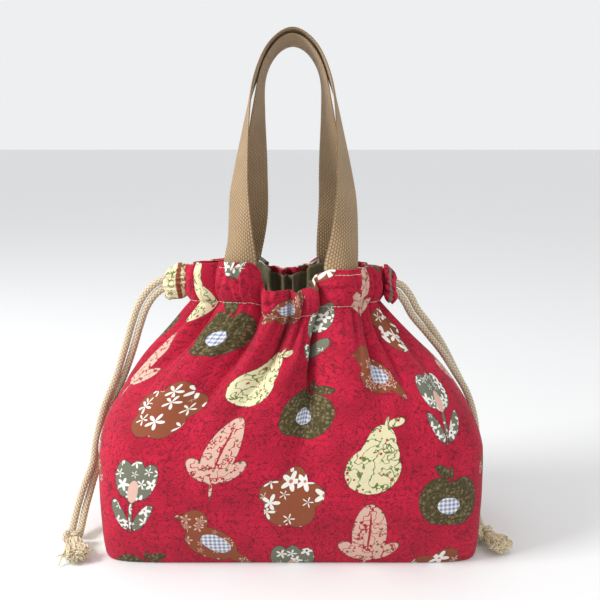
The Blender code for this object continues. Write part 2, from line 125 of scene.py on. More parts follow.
# Each row is the valley where a pleat starts: its place on the flat cloth and round the neck, its
# depth, how far it runs down, how far the pleat's top edge stands up, and how far its bottom is
# tucked sideways under the next pleat, in millimetres.
PLEATS = np.array((
    # cloth, neck, depth, reach, lift, tuck
    (0.010, 0.045, 0.70, 0.50, 0.65, 0.8),
    (0.070, 0.098, 0.80, 0.45, 0.85, -0.8),
    (0.135, 0.192, 0.90, 0.60, -0.75, -1.6),
    (0.172, 0.256, 0.90, 0.55, -0.90, 1.0),
    (0.212, 0.288, 0.60, 0.25, -0.60, 0.6),
    (0.252, 0.328, 1.45, 0.75, 0.40, 3.0),
    (0.325, 0.421, 0.90, 0.55, 0.35, 1.4),
    (0.362, 0.450, 0.80, 0.45, 0.30, 1.0),
    (0.402, 0.482, 0.70, 0.45, 0.20, 0.8),
    (0.490, 0.515, 0.50, 0.30, 0.10, 0.0),
    (0.540, 0.555, 0.70, 0.40, 0.20, -0.8),
    (0.585, 0.590, 0.90, 0.60, 0.50, -1.2),
    (0.655, 0.682, 0.80, 0.50, -0.10, 0.9),
    (0.700, 0.727, 0.70, 0.30, -0.30, 0.8),
    (0.750, 0.767, 0.90, 0.65, -0.20, -1.4),
    (0.800, 0.808, 0.80, 0.40, 0.60, 0.8),
    (0.865, 0.898, 0.90, 0.60, 0.35, -1.2),
    (0.910, 0.945, 0.70, 0.45, 0.35, 0.8),
    (0.955, 0.992, 0.60, 0.40, 0.40, 0.0),
))
LEFT_STRAP_PLEATS = (1, 15)
RIGHT_STRAP_PLEATS = (5, 11)
print(f"body {BELLY_WIDTH * 1000:.0f} mm wide, {len(PLEATS)} pleats")

# %% [markdown]
# ## Curves and rings
#
# A few small helpers turn the tables into smooth shapes. The rings are rounded rectangles, square at
# the base and nearly oval at the neck, and places on them are measured along their edge, as a tape
# measure laid round the bag would.

# %% Helpers for smooth tables and rings
def eased(share):
    """0 to 1 with a gentle start and end."""
    share = np.clip(share, 0.0, 1.0)
    return share * share * (3.0 - 2.0 * share)


def between(knots, values, wanted):
    """Values read from a smooth curve through a table's rows."""
    slopes = np.gradient(values, knots)
    low = np.clip(np.searchsorted(knots, wanted) - 1, 0, len(knots) - 2)
    gap = knots[low + 1] - knots[low]
    t = np.clip((wanted - knots[low]) / gap, 0.0, 1.0)
    first, last = values[low], values[low + 1]
    rise = (2 * t ** 3 - 3 * t ** 2 + 1) * first + (3 * t ** 2 - 2 * t ** 3) * last
    return rise + gap * ((t ** 3 - 2 * t ** 2 + t) * slopes[low] + (t ** 3 - t ** 2) * slopes[low + 1])


def ring_radius(angles, half_width, half_depth, squareness):
    across = np.abs(np.cos(angles) / half_width) ** squareness
    along = np.abs(np.sin(angles) / half_depth) ** squareness
    return (across + along) ** (-1.0 / squareness)


def ring_outline(half_width, half_depth, squareness):
    """Angles round a ring, the share of its edge at each, and its whole length."""
    angles = np.linspace(math.pi, 3 * math.pi, 721)
    radii = ring_radius(angles, half_width, half_depth, squareness)
    steps = np.hypot(np.diff(radii * np.cos(angles)), np.diff(radii * np.sin(angles)))
    length = np.concatenate([[0.0], np.cumsum(steps)])
    return angles, length / length[-1], length[-1]


def unit(vectors):
    return vectors / np.maximum(np.linalg.norm(vectors, axis=-1, keepdims=True), 1e-12)


def smooth_curve(points, count):
    """Points at even distances along a smooth curve through the given ones."""
    points = np.asarray(points, float)
    padded = np.vstack([2 * points[0] - points[1], points, 2 * points[-1] - points[-2]])
    fine = []
    for start in range(len(points) - 1):
        before, here, there, after = padded[start:start + 4]
        for step in np.linspace(0.0, 1.0, 12, endpoint=False):
            fine.append(0.5 * (
                2 * here
                + (there - before) * step
                + (2 * before - 5 * here + 4 * there - after) * step ** 2
                + (3 * here - before - 3 * there + after) * step ** 3
            ))
    fine = np.array(fine + [points[-1]])
    steps = np.linalg.norm(np.diff(fine, axis=0)[:, :3], axis=1)
    length = np.concatenate([[0.0], np.cumsum(steps)])
    wanted = np.linspace(0.0, length[-1], count)
    return np.column_stack([np.interp(wanted, length, fine[:, axis]) for axis in range(fine.shape[1])])


CLOTH_ROUND = ring_outline(BELLY_WIDTH / 2, BELLY_DEPTH / 2, between(
    BODY_RINGS[:, 0], BODY_RINGS[:, 3], np.array([WIDEST_HEIGHT]))[0])[2]
NECK_ROUND = ring_outline(NECK_WIDTH / 2, NECK_DEPTH / 2, BODY_RINGS[-1, 3])[2]
print(f"cloth is {CLOTH_ROUND * 1000:.0f} mm round, gathered to {NECK_ROUND * 1000:.0f} mm")

# %% [markdown]
# ## Gathers
#
# A drawstring pushes the cloth into pleats. The deep ones come from the table above, and between
# them the cloth puckers into many small creases that fade out within a few centimetres. Each crease is
# a valley with soft flanks. Its bottom can also slide sideways, which turns a plain wave into a pleat
# that lies over its neighbour. Cloth simulation could find such folds too, but these have to fall where
# the picture shows them, so they are placed as listed and softened by a formula.

# %% Pleats and small creases
SMALL_CREASES = 66
GATHER_BOOST = 1.05
chance = np.random.default_rng(7)


def small_creases():
    """Rows like those of PLEATS, for the puckers between the pleats."""
    neck = (np.arange(SMALL_CREASES) + chance.uniform(0.15, 0.85, SMALL_CREASES)) / SMALL_CREASES
    valleys = np.concatenate([PLEATS[-1:, :2] - 1.0, PLEATS[:, :2], PLEATS[:1, :2] + 1.0])
    cloth = np.interp(neck, valleys[:, 1], valleys[:, 0])
    depth = chance.uniform(0.12, 0.36, SMALL_CREASES)
    reach = chance.uniform(0.14, 0.50, SMALL_CREASES)
    tuck = chance.uniform(-0.8, 0.8, SMALL_CREASES)
    return np.column_stack([cloth, neck, depth, reach, np.zeros(SMALL_CREASES), tuck])


CREASES = small_creases()


def folded(place, height, round_length, rows, narrowness, casing=0.0):
    """How far inwards and sideways the folds of a table move each place of one ring, in metres."""
    grown = np.clip((height - FOLD_START) / (1.0 - FOLD_START), 0.0, 1.0)
    width = narrowness * (FOLD_WIDTH_BELLY + (FOLD_WIDTH_NECK - FOLD_WIDTH_BELLY) * grown)
    gathered = grown ** 2
    boost = 1.0 + GATHER_BOOST * math.sin(math.pi * grown ** 2) * (1.0 - casing)
    inwards = np.zeros(len(place))
    sideways = np.zeros(len(place))
    for cloth, neck, depth, reach, _, tuck in rows:
        fade = eased((height - (1.0 - reach)) / reach)
        if fade <= 0.0:
            continue
        valley = cloth + (neck - cloth) * gathered
        away = ((place - valley + 0.5) % 1.0 - 0.5) * round_length / width
        shape = np.exp(-np.abs(away) ** 1.5)
        inwards += boost * depth * fade * shape * FOLD_DEPTH
        sideways += 0.001 * tuck * fade * shape
        sideways -= 0.35 * width * depth * fade * (1.0 - 0.4 * casing) * away * np.exp(-away ** 2)
    return inwards, sideways


print(f"{SMALL_CREASES} small creases between the pleats")

# %% [markdown]
# ## The whole surface of the cloth
#
# One function gives the outer face of the cloth at any height and any thread. It adds up the ring, the
# folds, the pillow that each stretch of casing makes between two pleats, the ragged rise and fall of
# the rim, and a few broad dents in the belly.

# %% Surface of the cloth
PILLOW = 0.0014
PILLOW_FULL_WIDTH = 0.016
STITCH_PINCH = 0.0005
EDGE_ROUND = 0.0045
CREASE_PRESS = 0.0024
RIM_RUFFLE = 0.0011
RIM_RUFFLES = 31

# Soft dents and swells of the belly: place, height, half width and half height in metres, depth
DENTS = np.array((
    # place, height, width, tall, depth
    (0.105, 0.42, 0.030, 0.026, 0.0016),
    (0.190, 0.30, 0.040, 0.020, 0.0012),
    (0.262, 0.55, 0.016, 0.040, 0.0022),
    (0.330, 0.38, 0.035, 0.028, 0.0014),
    (0.405, 0.52, 0.020, 0.035, 0.0018),
    (0.150, 0.62, 0.014, 0.040, 0.0018),
    (0.070, 0.60, 0.016, 0.035, 0.0016),
    (0.480, 0.35, 0.022, 0.040, 0.0015),
    (0.560, 0.45, 0.025, 0.035, 0.0016),
    (0.650, 0.40, 0.035, 0.030, 0.0018),
    (0.745, 0.55, 0.018, 0.045, 0.0020),
    (0.840, 0.36, 0.035, 0.026, 0.0016),
    (0.930, 0.50, 0.022, 0.036, 0.0018),
    (0.990, 0.38, 0.022, 0.040, 0.0015),
))

# Diagonal creases of the casing, pressed in by the cord: place round the neck, rise, half length and
# half width in millimetres, turn in degrees, depth in millimetres
CASING_CREASES = np.array((
    # place, rise, length, width, turn, depth
    (0.122, 0.45, 6.0, 1.3, 62.0, 1.1),
    (0.150, 0.62, 7.0, 1.4, -52.0, 1.0),
    (0.172, 0.35, 6.0, 1.2, 48.0, 0.9),
    (0.215, 0.50, 7.0, 1.6, 35.0, 0.9),
    (0.240, 0.30, 5.0, 1.2, -40.0, 0.8),
    (0.352, 0.52, 6.5, 1.1, 8.0, 1.5),
    (0.378, 0.30, 6.0, 1.3, -35.0, 1.0),
    (0.402, 0.60, 6.0, 1.3, 55.0, 0.9),
    (0.075, 0.40, 5.0, 1.2, -50.0, 1.0),
    (0.460, 0.50, 5.0, 1.2, 60.0, 0.9),
    (0.620, 0.50, 7.0, 1.4, 50.0, 1.1),
    (0.650, 0.35, 6.0, 1.3, -45.0, 1.0),
    (0.850, 0.55, 7.0, 1.4, 40.0, 1.1),
    (0.880, 0.35, 6.0, 1.3, -55.0, 1.0),
))


def rim_lift(neck):
    """How far the top edge stands up at each place round the neck."""
    lift = np.full(len(neck), PLEATS[-1, 4])
    for start, before, here in zip(PLEATS[:, 1], np.roll(PLEATS[:, 4], 1), PLEATS[:, 4]):
        lift += (here - before) * eased(0.5 + 0.5 * (neck - start) * NECK_ROUND / RIM_BLEND)
    wrapped = 0.5 + 0.5 * (neck - 1.0 - PLEATS[0, 1]) * NECK_ROUND / RIM_BLEND
    lift += (PLEATS[0, 4] - PLEATS[-1, 4]) * eased(wrapped)
    return lift * RIM_LIFT


def pillows(neck):
    """How far each stretch of casing swells between two pleats, as a share of the fullest."""
    starts = np.concatenate([PLEATS[:, 1], PLEATS[:1, 1] + 1.0])
    wrapped = np.where(neck < starts[0], neck + 1.0, neck)
    low = np.clip(np.searchsorted(starts, wrapped, side="right") - 1, 0, len(PLEATS) - 1)
    width = starts[low + 1] - starts[low]
    share = (wrapped - starts[low]) / width
    return np.sin(math.pi * share) ** 0.8 * np.minimum(1.0, width * NECK_ROUND / PILLOW_FULL_WIDTH)


def neck_places(threads):
    """Where each thread of the flat cloth lies round the gathered neck."""
    valleys = np.concatenate([PLEATS[-1:, :2] - 1.0, PLEATS[:, :2], PLEATS[:1, :2] + 1.0])
    return np.interp(threads, valleys[:, 0], valleys[:, 1])


def cloth_row(threads, height, rise=0.0, inner=0.0):
    """One ring of the cloth, as points. rise counts up from the stitch line, inner moves it inwards."""
    neck = neck_places(threads)
    knots = BODY_RINGS[:, 0]
    wide = between(knots, BODY_RINGS[:, 1], np.array([height]))[0]
    deep = between(knots, BODY_RINGS[:, 2], np.array([height]))[0]
    square = between(knots, BODY_RINGS[:, 3], np.array([height]))[0]
    lower = height < WIDEST_HEIGHT
    end_width, end_depth = (BASE_WIDTH, BASE_DEPTH) if lower else (NECK_WIDTH, NECK_DEPTH)
    puff = between(CASING_RINGS[:, 0], CASING_RINGS[:, 1], np.array([rise]))[0] * PUFF
    depth = between(CASING_RINGS[:, 0], CASING_RINGS[:, 2], np.array([rise]))[0]
    width = end_width + (BELLY_WIDTH - end_width) * wide + 2 * puff
    thick = end_depth + (BELLY_DEPTH - end_depth) * deep + 2 * puff
    angles, shares, length = ring_outline(width / 2, thick / 2, square)
    grown = max(0.0, (height - FOLD_START) / (1.0 - FOLD_START)) ** 2
    place = threads + (neck - threads) * grown
    inwards, sideways = folded(place, height, length, PLEATS, 1.0, rise)
    small_in, small_side = folded(place, height, length, CREASES, 0.42, rise)
    calm = 1.0 - 0.35 * eased(rise)
    moved = place + (sideways + small_side * calm) / length
    turned = np.interp(moved % 1.0, shares, angles)
    level = height * BODY_HEIGHT + rise * CASING_HEIGHT
    inwards = depth * inwards + small_in * calm
    for at, up, across, tall, amount in DENTS:
        far = ((place - at + 0.5) % 1.0 - 0.5) * length / across
        inwards += amount * np.exp(-far ** 2 - ((level - up * BODY_HEIGHT) / tall) ** 2)
    swell = math.sin(math.pi * min(1.0, max(0.0, rise * 0.85 + 0.08)))
    inwards -= PILLOW * pillows(neck) * swell * eased(rise * 6.0)
    inwards += STITCH_PINCH * math.exp(-((height - 1.0) * BODY_HEIGHT / 0.004) ** 2) * (rise < 0.02)
    for at, up, long, thin, turn, amount in CASING_CREASES:
        right = ((neck - at + 0.5) % 1.0 - 0.5) * NECK_ROUND * 1000.0
        above = (level - BODY_HEIGHT - up * CASING_HEIGHT) * 1000.0
        angle = math.radians(turn)
        along = right * math.cos(angle) + above * math.sin(angle)
        beside = above * math.cos(angle) - right * math.sin(angle)
        inwards += CREASE_PRESS * amount * np.exp(-(along / long) ** 2 - (beside / thin) ** 2)
    ruffle = np.sin(2 * math.pi * (RIM_RUFFLES * neck + 0.8 * np.sin(2 * math.pi * 5 * neck)))
    inwards += RIM_RUFFLE * ruffle * eased((rise - 0.25) / 0.75)
    radius = ring_radius(turned, width / 2, thick / 2, square) - inwards - inner
    lifted = 0.5 * eased((height - 0.6) / 0.4) + 0.5 * rise
    z = level + lifted * rim_lift(neck)
    centre = NECK_SHIFT * eased((height - 0.4) / 0.6)
    return np.stack([centre + radius * np.cos(turned), radius * np.sin(turned), z], axis=-1)


print("rim runs from", cloth_row(np.linspace(0, 1, 400), 1.0, 1.0)[:, 2].min().round(4), "m to",
      cloth_row(np.linspace(0, 1, 400), 1.0, 1.0)[:, 2].max().round(4), "m")

# %% [markdown]
# ## From a grid to a piece
#
# Cloth is a grid of threads, so each cloth piece starts as Blender's own grid. A table says where each
# of its corners goes, and another says where that corner lies on the flat cloth, which becomes the UV
# map that the printed pattern and the weave read. A grid that closes round itself has its seam merged.

# %% Bend a grid into a piece
def bent_grid(name, points, flat, around=True, ends="open"):
    """A mesh from a grid whose rows and columns follow a table of points."""
    rows, columns = points.shape[0] - 1, points.shape[1] - 1
    piece = bmesh.new()
    bmesh.ops.create_grid(piece, x_segments=columns, y_segments=rows, size=0.5)
    cloth = piece.loops.layers.uv.new("cloth")
    piece.verts.ensure_lookup_table()
    corners = np.array([vertex.co[:2] for vertex in piece.verts]) + 0.5
    column = np.rint(corners[:, 0] * columns).astype(int)
    row = np.rint(corners[:, 1] * rows).astype(int)
    places = points[row, column]
    on_cloth = flat[row, column]
    for face in piece.faces:
        for corner in face.loops:
            corner[cloth].uv = on_cloth[corner.vert.index]
    for vertex, place in zip(piece.verts, places):
        vertex.co = place
    edge = (row == 0) | (row == rows)
    if around:
        edge |= (column == 0) | (column == columns)
    joined = [vertex for vertex, at_edge in zip(piece.verts, edge) if at_edge]
    bmesh.ops.remove_doubles(piece, verts=joined, dist=1e-7)
    if ends == "filled":
        bmesh.ops.holes_fill(piece, edges=[item for item in piece.edges if item.is_boundary])
    bmesh.ops.recalc_face_normals(piece, faces=piece.faces)
    return keep(name, piece)


def keep(name, piece):
    """An object from a finished bmesh, shaded smooth."""
    mesh = bpy.data.meshes.new(name)
    piece.to_mesh(mesh)
    piece.free()
    mesh.shade_smooth()
    made = bpy.data.objects.new(name, mesh)
    bpy.context.scene.collection.objects.link(made)
    return made


def count_faces(*pieces):
    return ", ".join(f"{piece.name} {len(piece.data.polygons)} faces" for piece in pieces)


print("a grid becomes a piece through two tables: where it goes, and where it lies on the cloth")

# %% [markdown]
# ## The printed outer cloth
#
# The outer bag is one closed skin. It starts in the middle of the base, runs out to the boxed edge,
# up the belly and the gathers to the rim, turns over it and goes back down inside. The rim is thicker,
# because the cloth is folded there. Rows are close together where folds are sharp.

# %% Outer cloth
THREADS = 400
CLOTH = 0.0010
HEM = 0.0018
BASE_ROWS = 7
BODY_ROWS = 84
EDGE_ROWS = 9
CASING_ROWS = 22
RIM_ROWS = 4
INNER_ROWS = 40


def outer_heights():
    """Heights of the body's rows, closer together round the bottom edge."""
    edge = EDGE_ROUND / BODY_HEIGHT
    low = edge * np.linspace(0.0, 1.0, EDGE_ROWS) ** 1.6
    return np.concatenate([low[:-1], np.linspace(edge, 1.0, BODY_ROWS - EDGE_ROWS + 1)])


def surface_rows(threads, heights, rises):
    rows = [cloth_row(threads, height) for height in heights]
    rows += [cloth_row(threads, 1.0, rise) for rise in rises]
    return np.array(rows)


def pushed_in(rows, amounts):
    """Rows of cloth moved inwards along the cloth's own normals."""
    round_ways = np.roll(rows[:, :-1], -1, axis=1) - np.roll(rows[:, :-1], 1, axis=1)
    up_ways = np.gradient(rows[:, :-1], axis=0)
    normals = unit(np.cross(round_ways, up_ways))
    normals = np.concatenate([normals, normals[:, :1]], axis=1)
    return rows - normals * np.asarray(amounts)[:, None, None]


def flat_places(rows, threads):
    """Flat cloth coordinates in metres: along the threads round the bag, and up the cloth."""
    steps = np.linalg.norm(np.diff(rows, axis=0), axis=2).mean(axis=1)
    up = np.concatenate([[0.0], np.cumsum(steps)])
    return np.stack(np.broadcast_arrays(threads[None, :] * CLOTH_ROUND, up[:, None]), axis=-1)


threads = np.linspace(0.0, 1.0, THREADS + 1)
outer = surface_rows(threads, outer_heights(), np.linspace(0.0, 1.0, CASING_ROWS + 1)[1:])
outer[:, -1] = outer[:, 0]
for row in range(EDGE_ROWS):
    share = np.clip(outer[row, :, 2] / EDGE_ROUND, 0.0, 1.0)
    tuck = EDGE_ROUND * 0.35 * (1.0 - np.sqrt(1.0 - (1.0 - share) ** 2))
    outer[row, :, :2] *= 1.0 - (tuck / np.linalg.norm(outer[row, :, :2], axis=1))[:, None]
flat = flat_places(outer, threads)

thickness = CLOTH + (HEM - CLOTH) * eased((np.arange(len(outer)) - BODY_ROWS) / CASING_ROWS * 3.0 - 1.6)
inner = pushed_in(outer, thickness)
inner[0, :, 2] = CLOTH
inner_rows = np.unique(np.rint(np.linspace(0, len(outer) - 1, INNER_ROWS)).astype(int))[::-1]

rim = []
for step in range(1, RIM_ROWS + 1):
    angle = math.pi * step / (RIM_ROWS + 1)
    middle = 0.5 * (outer[-1] + inner[-1])
    half = 0.5 * (outer[-1] - inner[-1])
    lift = np.array([0.0, 0.0, 0.5 * HEM * math.sin(angle)])
    rim.append(middle + half * math.cos(angle) + lift)
base_shares = np.linspace(0.0, 1.0, BASE_ROWS + 1)[:-1, None, None]
middle_of_base = np.zeros(3)
base_out = middle_of_base + (outer[0] - middle_of_base) * base_shares
inner_middle = np.array([0.0, 0.0, CLOTH])
base_in = (inner_middle + (inner[0] - inner_middle) * base_shares)[::-1]

under = base_out[:, :, :2] * np.array([1.0, -1.0]) + np.array([0.30, -0.5 * BASE_DEPTH])
inside_flat = flat[inner_rows] + np.array([0.011, 0.017])
shell_points = np.concatenate([base_out, outer, rim, inner[inner_rows], base_in])
shell_flat = np.concatenate([
    under,
    flat,
    np.repeat(flat[-1:], RIM_ROWS, axis=0) + np.linspace(0.0005, 0.002, RIM_ROWS)[:, None, None] * (0, 1),
    inside_flat,
    base_in[:, :, :2],
])
bag_shell = bent_grid("printed_cloth", shell_points, shell_flat)
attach(bag_shell, "root")
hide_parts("bag_shell")
print(count_faces(bag_shell))

# %% [markdown]
# ## The lining
#
# Inside hangs a plain dark cloth, sewn in below the rim. It is gathered with the outer cloth, so it
# follows the same pleats a little further in, and it puckers once more by itself. Behind the straps it
# leaves room for the webbing, which is sewn in between the two cloths.

# %% Lining
LINING_THREADS = 340
LINING_ROWS = 62
LINING_INSET = 0.0027
LINING_CLOTH = 0.0007
LINING_DROP = 0.0045
LINING_FLOOR = 0.0028
LINING_PUCKERS = 46
LINING_PUCKER_DEPTH = 0.0023
STRAP_ROOM = 0.0042
LINING_FOLD = (0.738, 0.020, 0.0065)


def near_straps(neck, spread):
    """1 behind the straps and 0 away from them, for each place round the neck."""
    starts, ends = PLEATS[:, 1], np.append(PLEATS[1:, 1], PLEATS[0, 1] + 1.0)
    near = np.zeros(len(neck))
    for pleat in LEFT_STRAP_PLEATS + RIGHT_STRAP_PLEATS:
        outside = np.maximum(starts[pleat] - neck, neck - ends[pleat]) * NECK_ROUND
        near = np.maximum(near, 1.0 - eased(outside / spread))
    return near


def lining_row(threads, height, rise):
    """One ring of the lining's outer face."""
    neck = neck_places(threads)
    gathered = eased((height - 0.55) / 0.45)
    wave = 0.5 - 0.5 * np.cos(2 * math.pi * (LINING_PUCKERS * neck + 0.35 * np.sin(2 * math.pi * 7 * neck)))
    inset = LINING_INSET + LINING_PUCKER_DEPTH * gathered * wave
    inset += STRAP_ROOM * eased((height + rise - 0.90) / 0.12) * near_straps(neck, RIM_BLEND)
    at, across, amount = LINING_FOLD
    bulge = np.exp(-(((neck - at) * NECK_ROUND / across * 2.2) ** 2))
    inset += amount * bulge * eased((height + rise - 0.85) / 0.3)
    row = cloth_row(threads, height, rise, inset)
    row[:, 2] = np.maximum(row[:, 2], LINING_FLOOR)
    return row


lining_threads = np.linspace(0.0, 1.0, LINING_THREADS + 1)
up_the_lining = np.linspace(0.0, 1.0, LINING_ROWS + 1) ** 0.8
top_rise = 1.0 - LINING_DROP / CASING_HEIGHT
lining_outside = np.array([
    lining_row(lining_threads, min(1.0, share * 1.12), top_rise * max(0.0, (share * 1.12 - 1.0) / 0.12))
    for share in up_the_lining
])
lining_outside[:, -1] = lining_outside[:, 0]
lining_inside = pushed_in(lining_outside, np.full(len(lining_outside), LINING_CLOTH))
lining_inside[0, :, 2] = LINING_FLOOR + LINING_CLOTH
floor_shares = np.linspace(0.0, 1.0, 5)[:-1, None, None]
lining_middle = np.array([0.0, 0.0, LINING_FLOOR])
floor_under = lining_middle + (lining_outside[0] - lining_middle) * floor_shares
raised_middle = lining_middle + np.array([0.0, 0.0, LINING_CLOTH])
floor_over = (raised_middle + (lining_inside[0] - raised_middle) * floor_shares)[::-1]
lining_flat = flat_places(lining_outside, lining_threads)
lining = bent_grid(
    "lining_cloth",
    np.concatenate([floor_under, lining_outside, lining_inside[::-1], floor_over]),
    np.concatenate([floor_under[:, :, :2], lining_flat, lining_flat[::-1], floor_over[:, :, :2]]),
)
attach(lining, "root")
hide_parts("lining")
print(count_faces(lining))

# %% [markdown]
# ## Webbing handles
#
# A handle is one length of flat webbing. Each foot is sewn in behind the rim, where it follows the
# curve of the mouth, and the free run twists until it is edge-on at the top, where the two handles lean
# together. The band is a grid wrapped round the cross-section, with the small scallops of the woven
# edge in its shape.

# %% Handles
STRAP_WIDTH = 0.025
STRAP_THICKNESS = 0.0017
STRAP_INSET = 0.0038
STRAP_TUCK = 0.015
FRONT_HANDLE_RISE = 0.164
REAR_HANDLE_RISE = 0.160
HANDLE_SPREAD = 0.037
HANDLE_TOP_X = 0.0015
HANDLE_TOP_Y = 0.005
STRAP_LEAN = 0.25
STRAP_FLAT_AFTER = 0.16
STRAP_RUN_ROWS = 520
STRAP_FOOT_ROWS = 18
STRAP_FACE_COLUMNS = 24
STRAP_SCALLOP = 0.0023
STRAP_SCALLOP_DEPTH = 0.00030
FOOT_SMOOTHING = 30
RUN_SMOOTHING = 6

FRONT_HANDLE = (
    # rise, spread, depth, turn in degrees
    (0.17, 1.00, 0.13, 38.0),
    (0.37, 0.99, 0.33, 57.0),
    (0.62, 0.87, 0.58, 76.0),
    (0.80, 0.72, 0.76, 87.0),
    (0.94, 0.43, 0.94, 90.0),
    (1.00, 0.00, 1.00, 90.0),
)
REAR_HANDLE = (
    (0.23, 0.80, 0.22, 38.0),
    (0.44, 0.74, 0.48, 52.0),
    (0.70, 0.66, 0.80, 74.0),
    (0.86, 0.56, 0.94, 86.0),
    (0.96, 0.32, 1.00, 90.0),
    (1.00, 0.00, 1.00, 90.0),
)
ACROSS = np.linspace(-0.5, 0.5, STRAP_FACE_COLUMNS + 1) * STRAP_WIDTH


def strap_foot(pleat, side):
    """Lines across a strap where it is sewn in behind the casing, from its end up to the rim."""
    start, end = PLEATS[pleat, 1], PLEATS[pleat + 1, 1]
    cloth_start, cloth_end = PLEATS[pleat, 0], PLEATS[pleat + 1, 0]
    shares = 0.5 + side * ACROSS / ((end - start) * NECK_ROUND)
    places = cloth_start + (cloth_end - cloth_start) * shares
    lines = []
    for depth in np.linspace(STRAP_TUCK, 0.0, STRAP_FOOT_ROWS + 1):
        lines.append(cloth_row(places, 1.0, 1.0 - depth / CASING_HEIGHT, STRAP_INSET))
    lines = np.array(lines)
    for _ in range(FOOT_SMOOTHING):
        lines[:, 1:-1] = 0.5 * lines[:, 1:-1] + 0.25 * (lines[:, :-2] + lines[:, 2:])
    return lines


def strap_lines(left, right, rows, rise):
    """All the lines across one handle, from foot to foot."""
    lean = 1.0 if PLEATS[left, 1] < 0.5 else -1.0
    feet = [strap_foot(left, 1.0), strap_foot(right, -1.0)]
    halves = []
    for side, foot in zip((-1.0, 1.0), feet):
        base = foot[-1].mean(axis=0)
        route = [(*base, *unit(foot[-1, -1] - foot[-1, 0]))]
        for up, spread, deep, turn in rows:
            angle = math.radians(turn)
            route.append((
                HANDLE_TOP_X + side * HANDLE_SPREAD * spread,
                base[1] + (HANDLE_TOP_Y - base[1]) * deep,
                BODY_HEIGHT + CASING_HEIGHT + rise * up,
                -side * lean * math.cos(angle),
                -math.sin(angle),
                STRAP_LEAN * math.sin(angle),
            ))
        halves.append(route)
    curve = smooth_curve(halves[0] + halves[1][-2::-1], STRAP_RUN_ROWS)
    centre, edge = curve[:, :3], curve[:, 3:]
    ahead = unit(np.gradient(centre, axis=0))
    edge = unit(edge - (edge * ahead).sum(axis=1, keepdims=True) * ahead)
    lines = centre[:, None, :] + edge[:, None, :] * ACROSS[None, :, None]
    walked = np.linspace(0.0, 1.0, STRAP_RUN_ROWS)
    for foot, along in zip(feet, (walked, 1.0 - walked)):
        straight = foot[-1].mean(axis=0) + np.outer(ACROSS, unit(foot[-1, -1] - foot[-1, 0]))
        lines += (foot[-1] - straight)[None] * (1.0 - eased(along / STRAP_FLAT_AFTER))[:, None, None]
    return np.concatenate([feet[0][:-1], lines, feet[1][-2::-1]])


def make_handle(name, node, left, right, rows, rise):
    lines = strap_lines(left, right, rows, rise)
    centre = lines.mean(axis=1)
    along = np.concatenate([[0.0], np.cumsum(np.linalg.norm(np.diff(centre, axis=0), axis=1))])
    for _ in range(RUN_SMOOTHING):
        lines[1:-1] = 0.5 * lines[1:-1] + 0.25 * (lines[:-2] + lines[2:])
    edge = unit(lines[:, -1] - lines[:, 0])
    ahead = unit(np.gradient(lines.mean(axis=1), axis=0))
    face = unit(np.cross(ahead, edge))
    scallop = STRAP_SCALLOP_DEPTH * np.abs(np.sin(math.pi * along / STRAP_SCALLOP))[:, None] * edge
    lines[:, 0] -= scallop
    lines[:, -1] += np.roll(scallop, 2, axis=0)
    crown = 1.0 - 0.75 * (np.abs(ACROSS) / (0.5 * STRAP_WIDTH)) ** 8
    half = 0.5 * STRAP_THICKNESS * face[:, None, :] * crown[None, :, None]
    ring = np.concatenate([lines + half, (lines - half)[:, ::-1], (lines + half)[:, :1]], axis=1)
    across = np.concatenate([ACROSS, ACROSS[::-1], ACROSS[:1]])
    flat_band = np.stack(np.broadcast_arrays(across[None, :], along[:, None]), axis=-1)
    made = bent_grid(name, ring, flat_band, ends="filled")
    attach(made, "root")
    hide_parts(node)
    print(f"{name}: {along[-1] * 1000:.0f} mm of webbing, {len(made.data.polygons)} faces")
    return made


front_handle = make_handle(
    "front_webbing", "front_handle", LEFT_STRAP_PLEATS[0], RIGHT_STRAP_PLEATS[0],
    FRONT_HANDLE, FRONT_HANDLE_RISE,
)
rear_handle = make_handle(
    "rear_webbing", "rear_handle", LEFT_STRAP_PLEATS[1], RIGHT_STRAP_PLEATS[1],
    REAR_HANDLE, REAR_HANDLE_RISE,
)

# %% [markdown]
# ## Drawcords
#
# Each drawcord runs through the casing and shows as a pair of braided strands, knotted together at the
# end. The routes were given point by point, and are the plain model's own. A strand is a tube
# whose surface carries the braid: two sets of yarns that wind opposite ways and cross in chevrons.

# %% Drawcord routes, in metres
CORD = 0.0055
CORD_SPACING = 0.0060
LEFT_ROUTE = (
    (-0.0785, 0.000, 0.1900),
    (-0.0900, 0.000, 0.1880),
    (-0.0998, 0.000, 0.1822),
    (-0.1080, 0.001, 0.1710),
    (-0.1140, 0.003, 0.1560),
    (-0.1200, 0.005, 0.1380),
    (-0.1285, 0.007, 0.1150),
    (-0.1405, 0.010, 0.0900),
    (-0.1478, 0.010, 0.0630),
    (-0.1500, 0.008, 0.0470),
    (-0.1545, 0.002, 0.0320),
    (-0.1575, -0.008, 0.0190),
    (-0.1580, -0.020, 0.0100),
    (-0.1575, -0.0276, 0.0075),
)
RIGHT_ROUTE = (
    (0.0730, 0.002, 0.1845),
    (0.0785, 0.003, 0.1832),
    (0.0850, 0.005, 0.1755),
    (0.0915, 0.009, 0.1640),
    (0.1020, 0.014, 0.1510),
    (0.1145, 0.022, 0.1340),
    (0.1265, 0.029, 0.1140),
    (0.1385, 0.032, 0.0920),
    (0.1455, 0.034, 0.0680),
    (0.1465, 0.035, 0.0480),
    (0.1455, 0.035, 0.0300),
    (0.1440, 0.030, 0.0140),
    (0.1425, 0.021, 0.0070),
    (0.1412, 0.007, 0.0042),
    (0.1405, -0.009, 0.0046),
    (0.1405, -0.0215, 0.0070),
)
LEFT_TURNS = (90.0, 90.0, 80.0, 50.0, 20.0, 20.0, 60.0, 90.0)
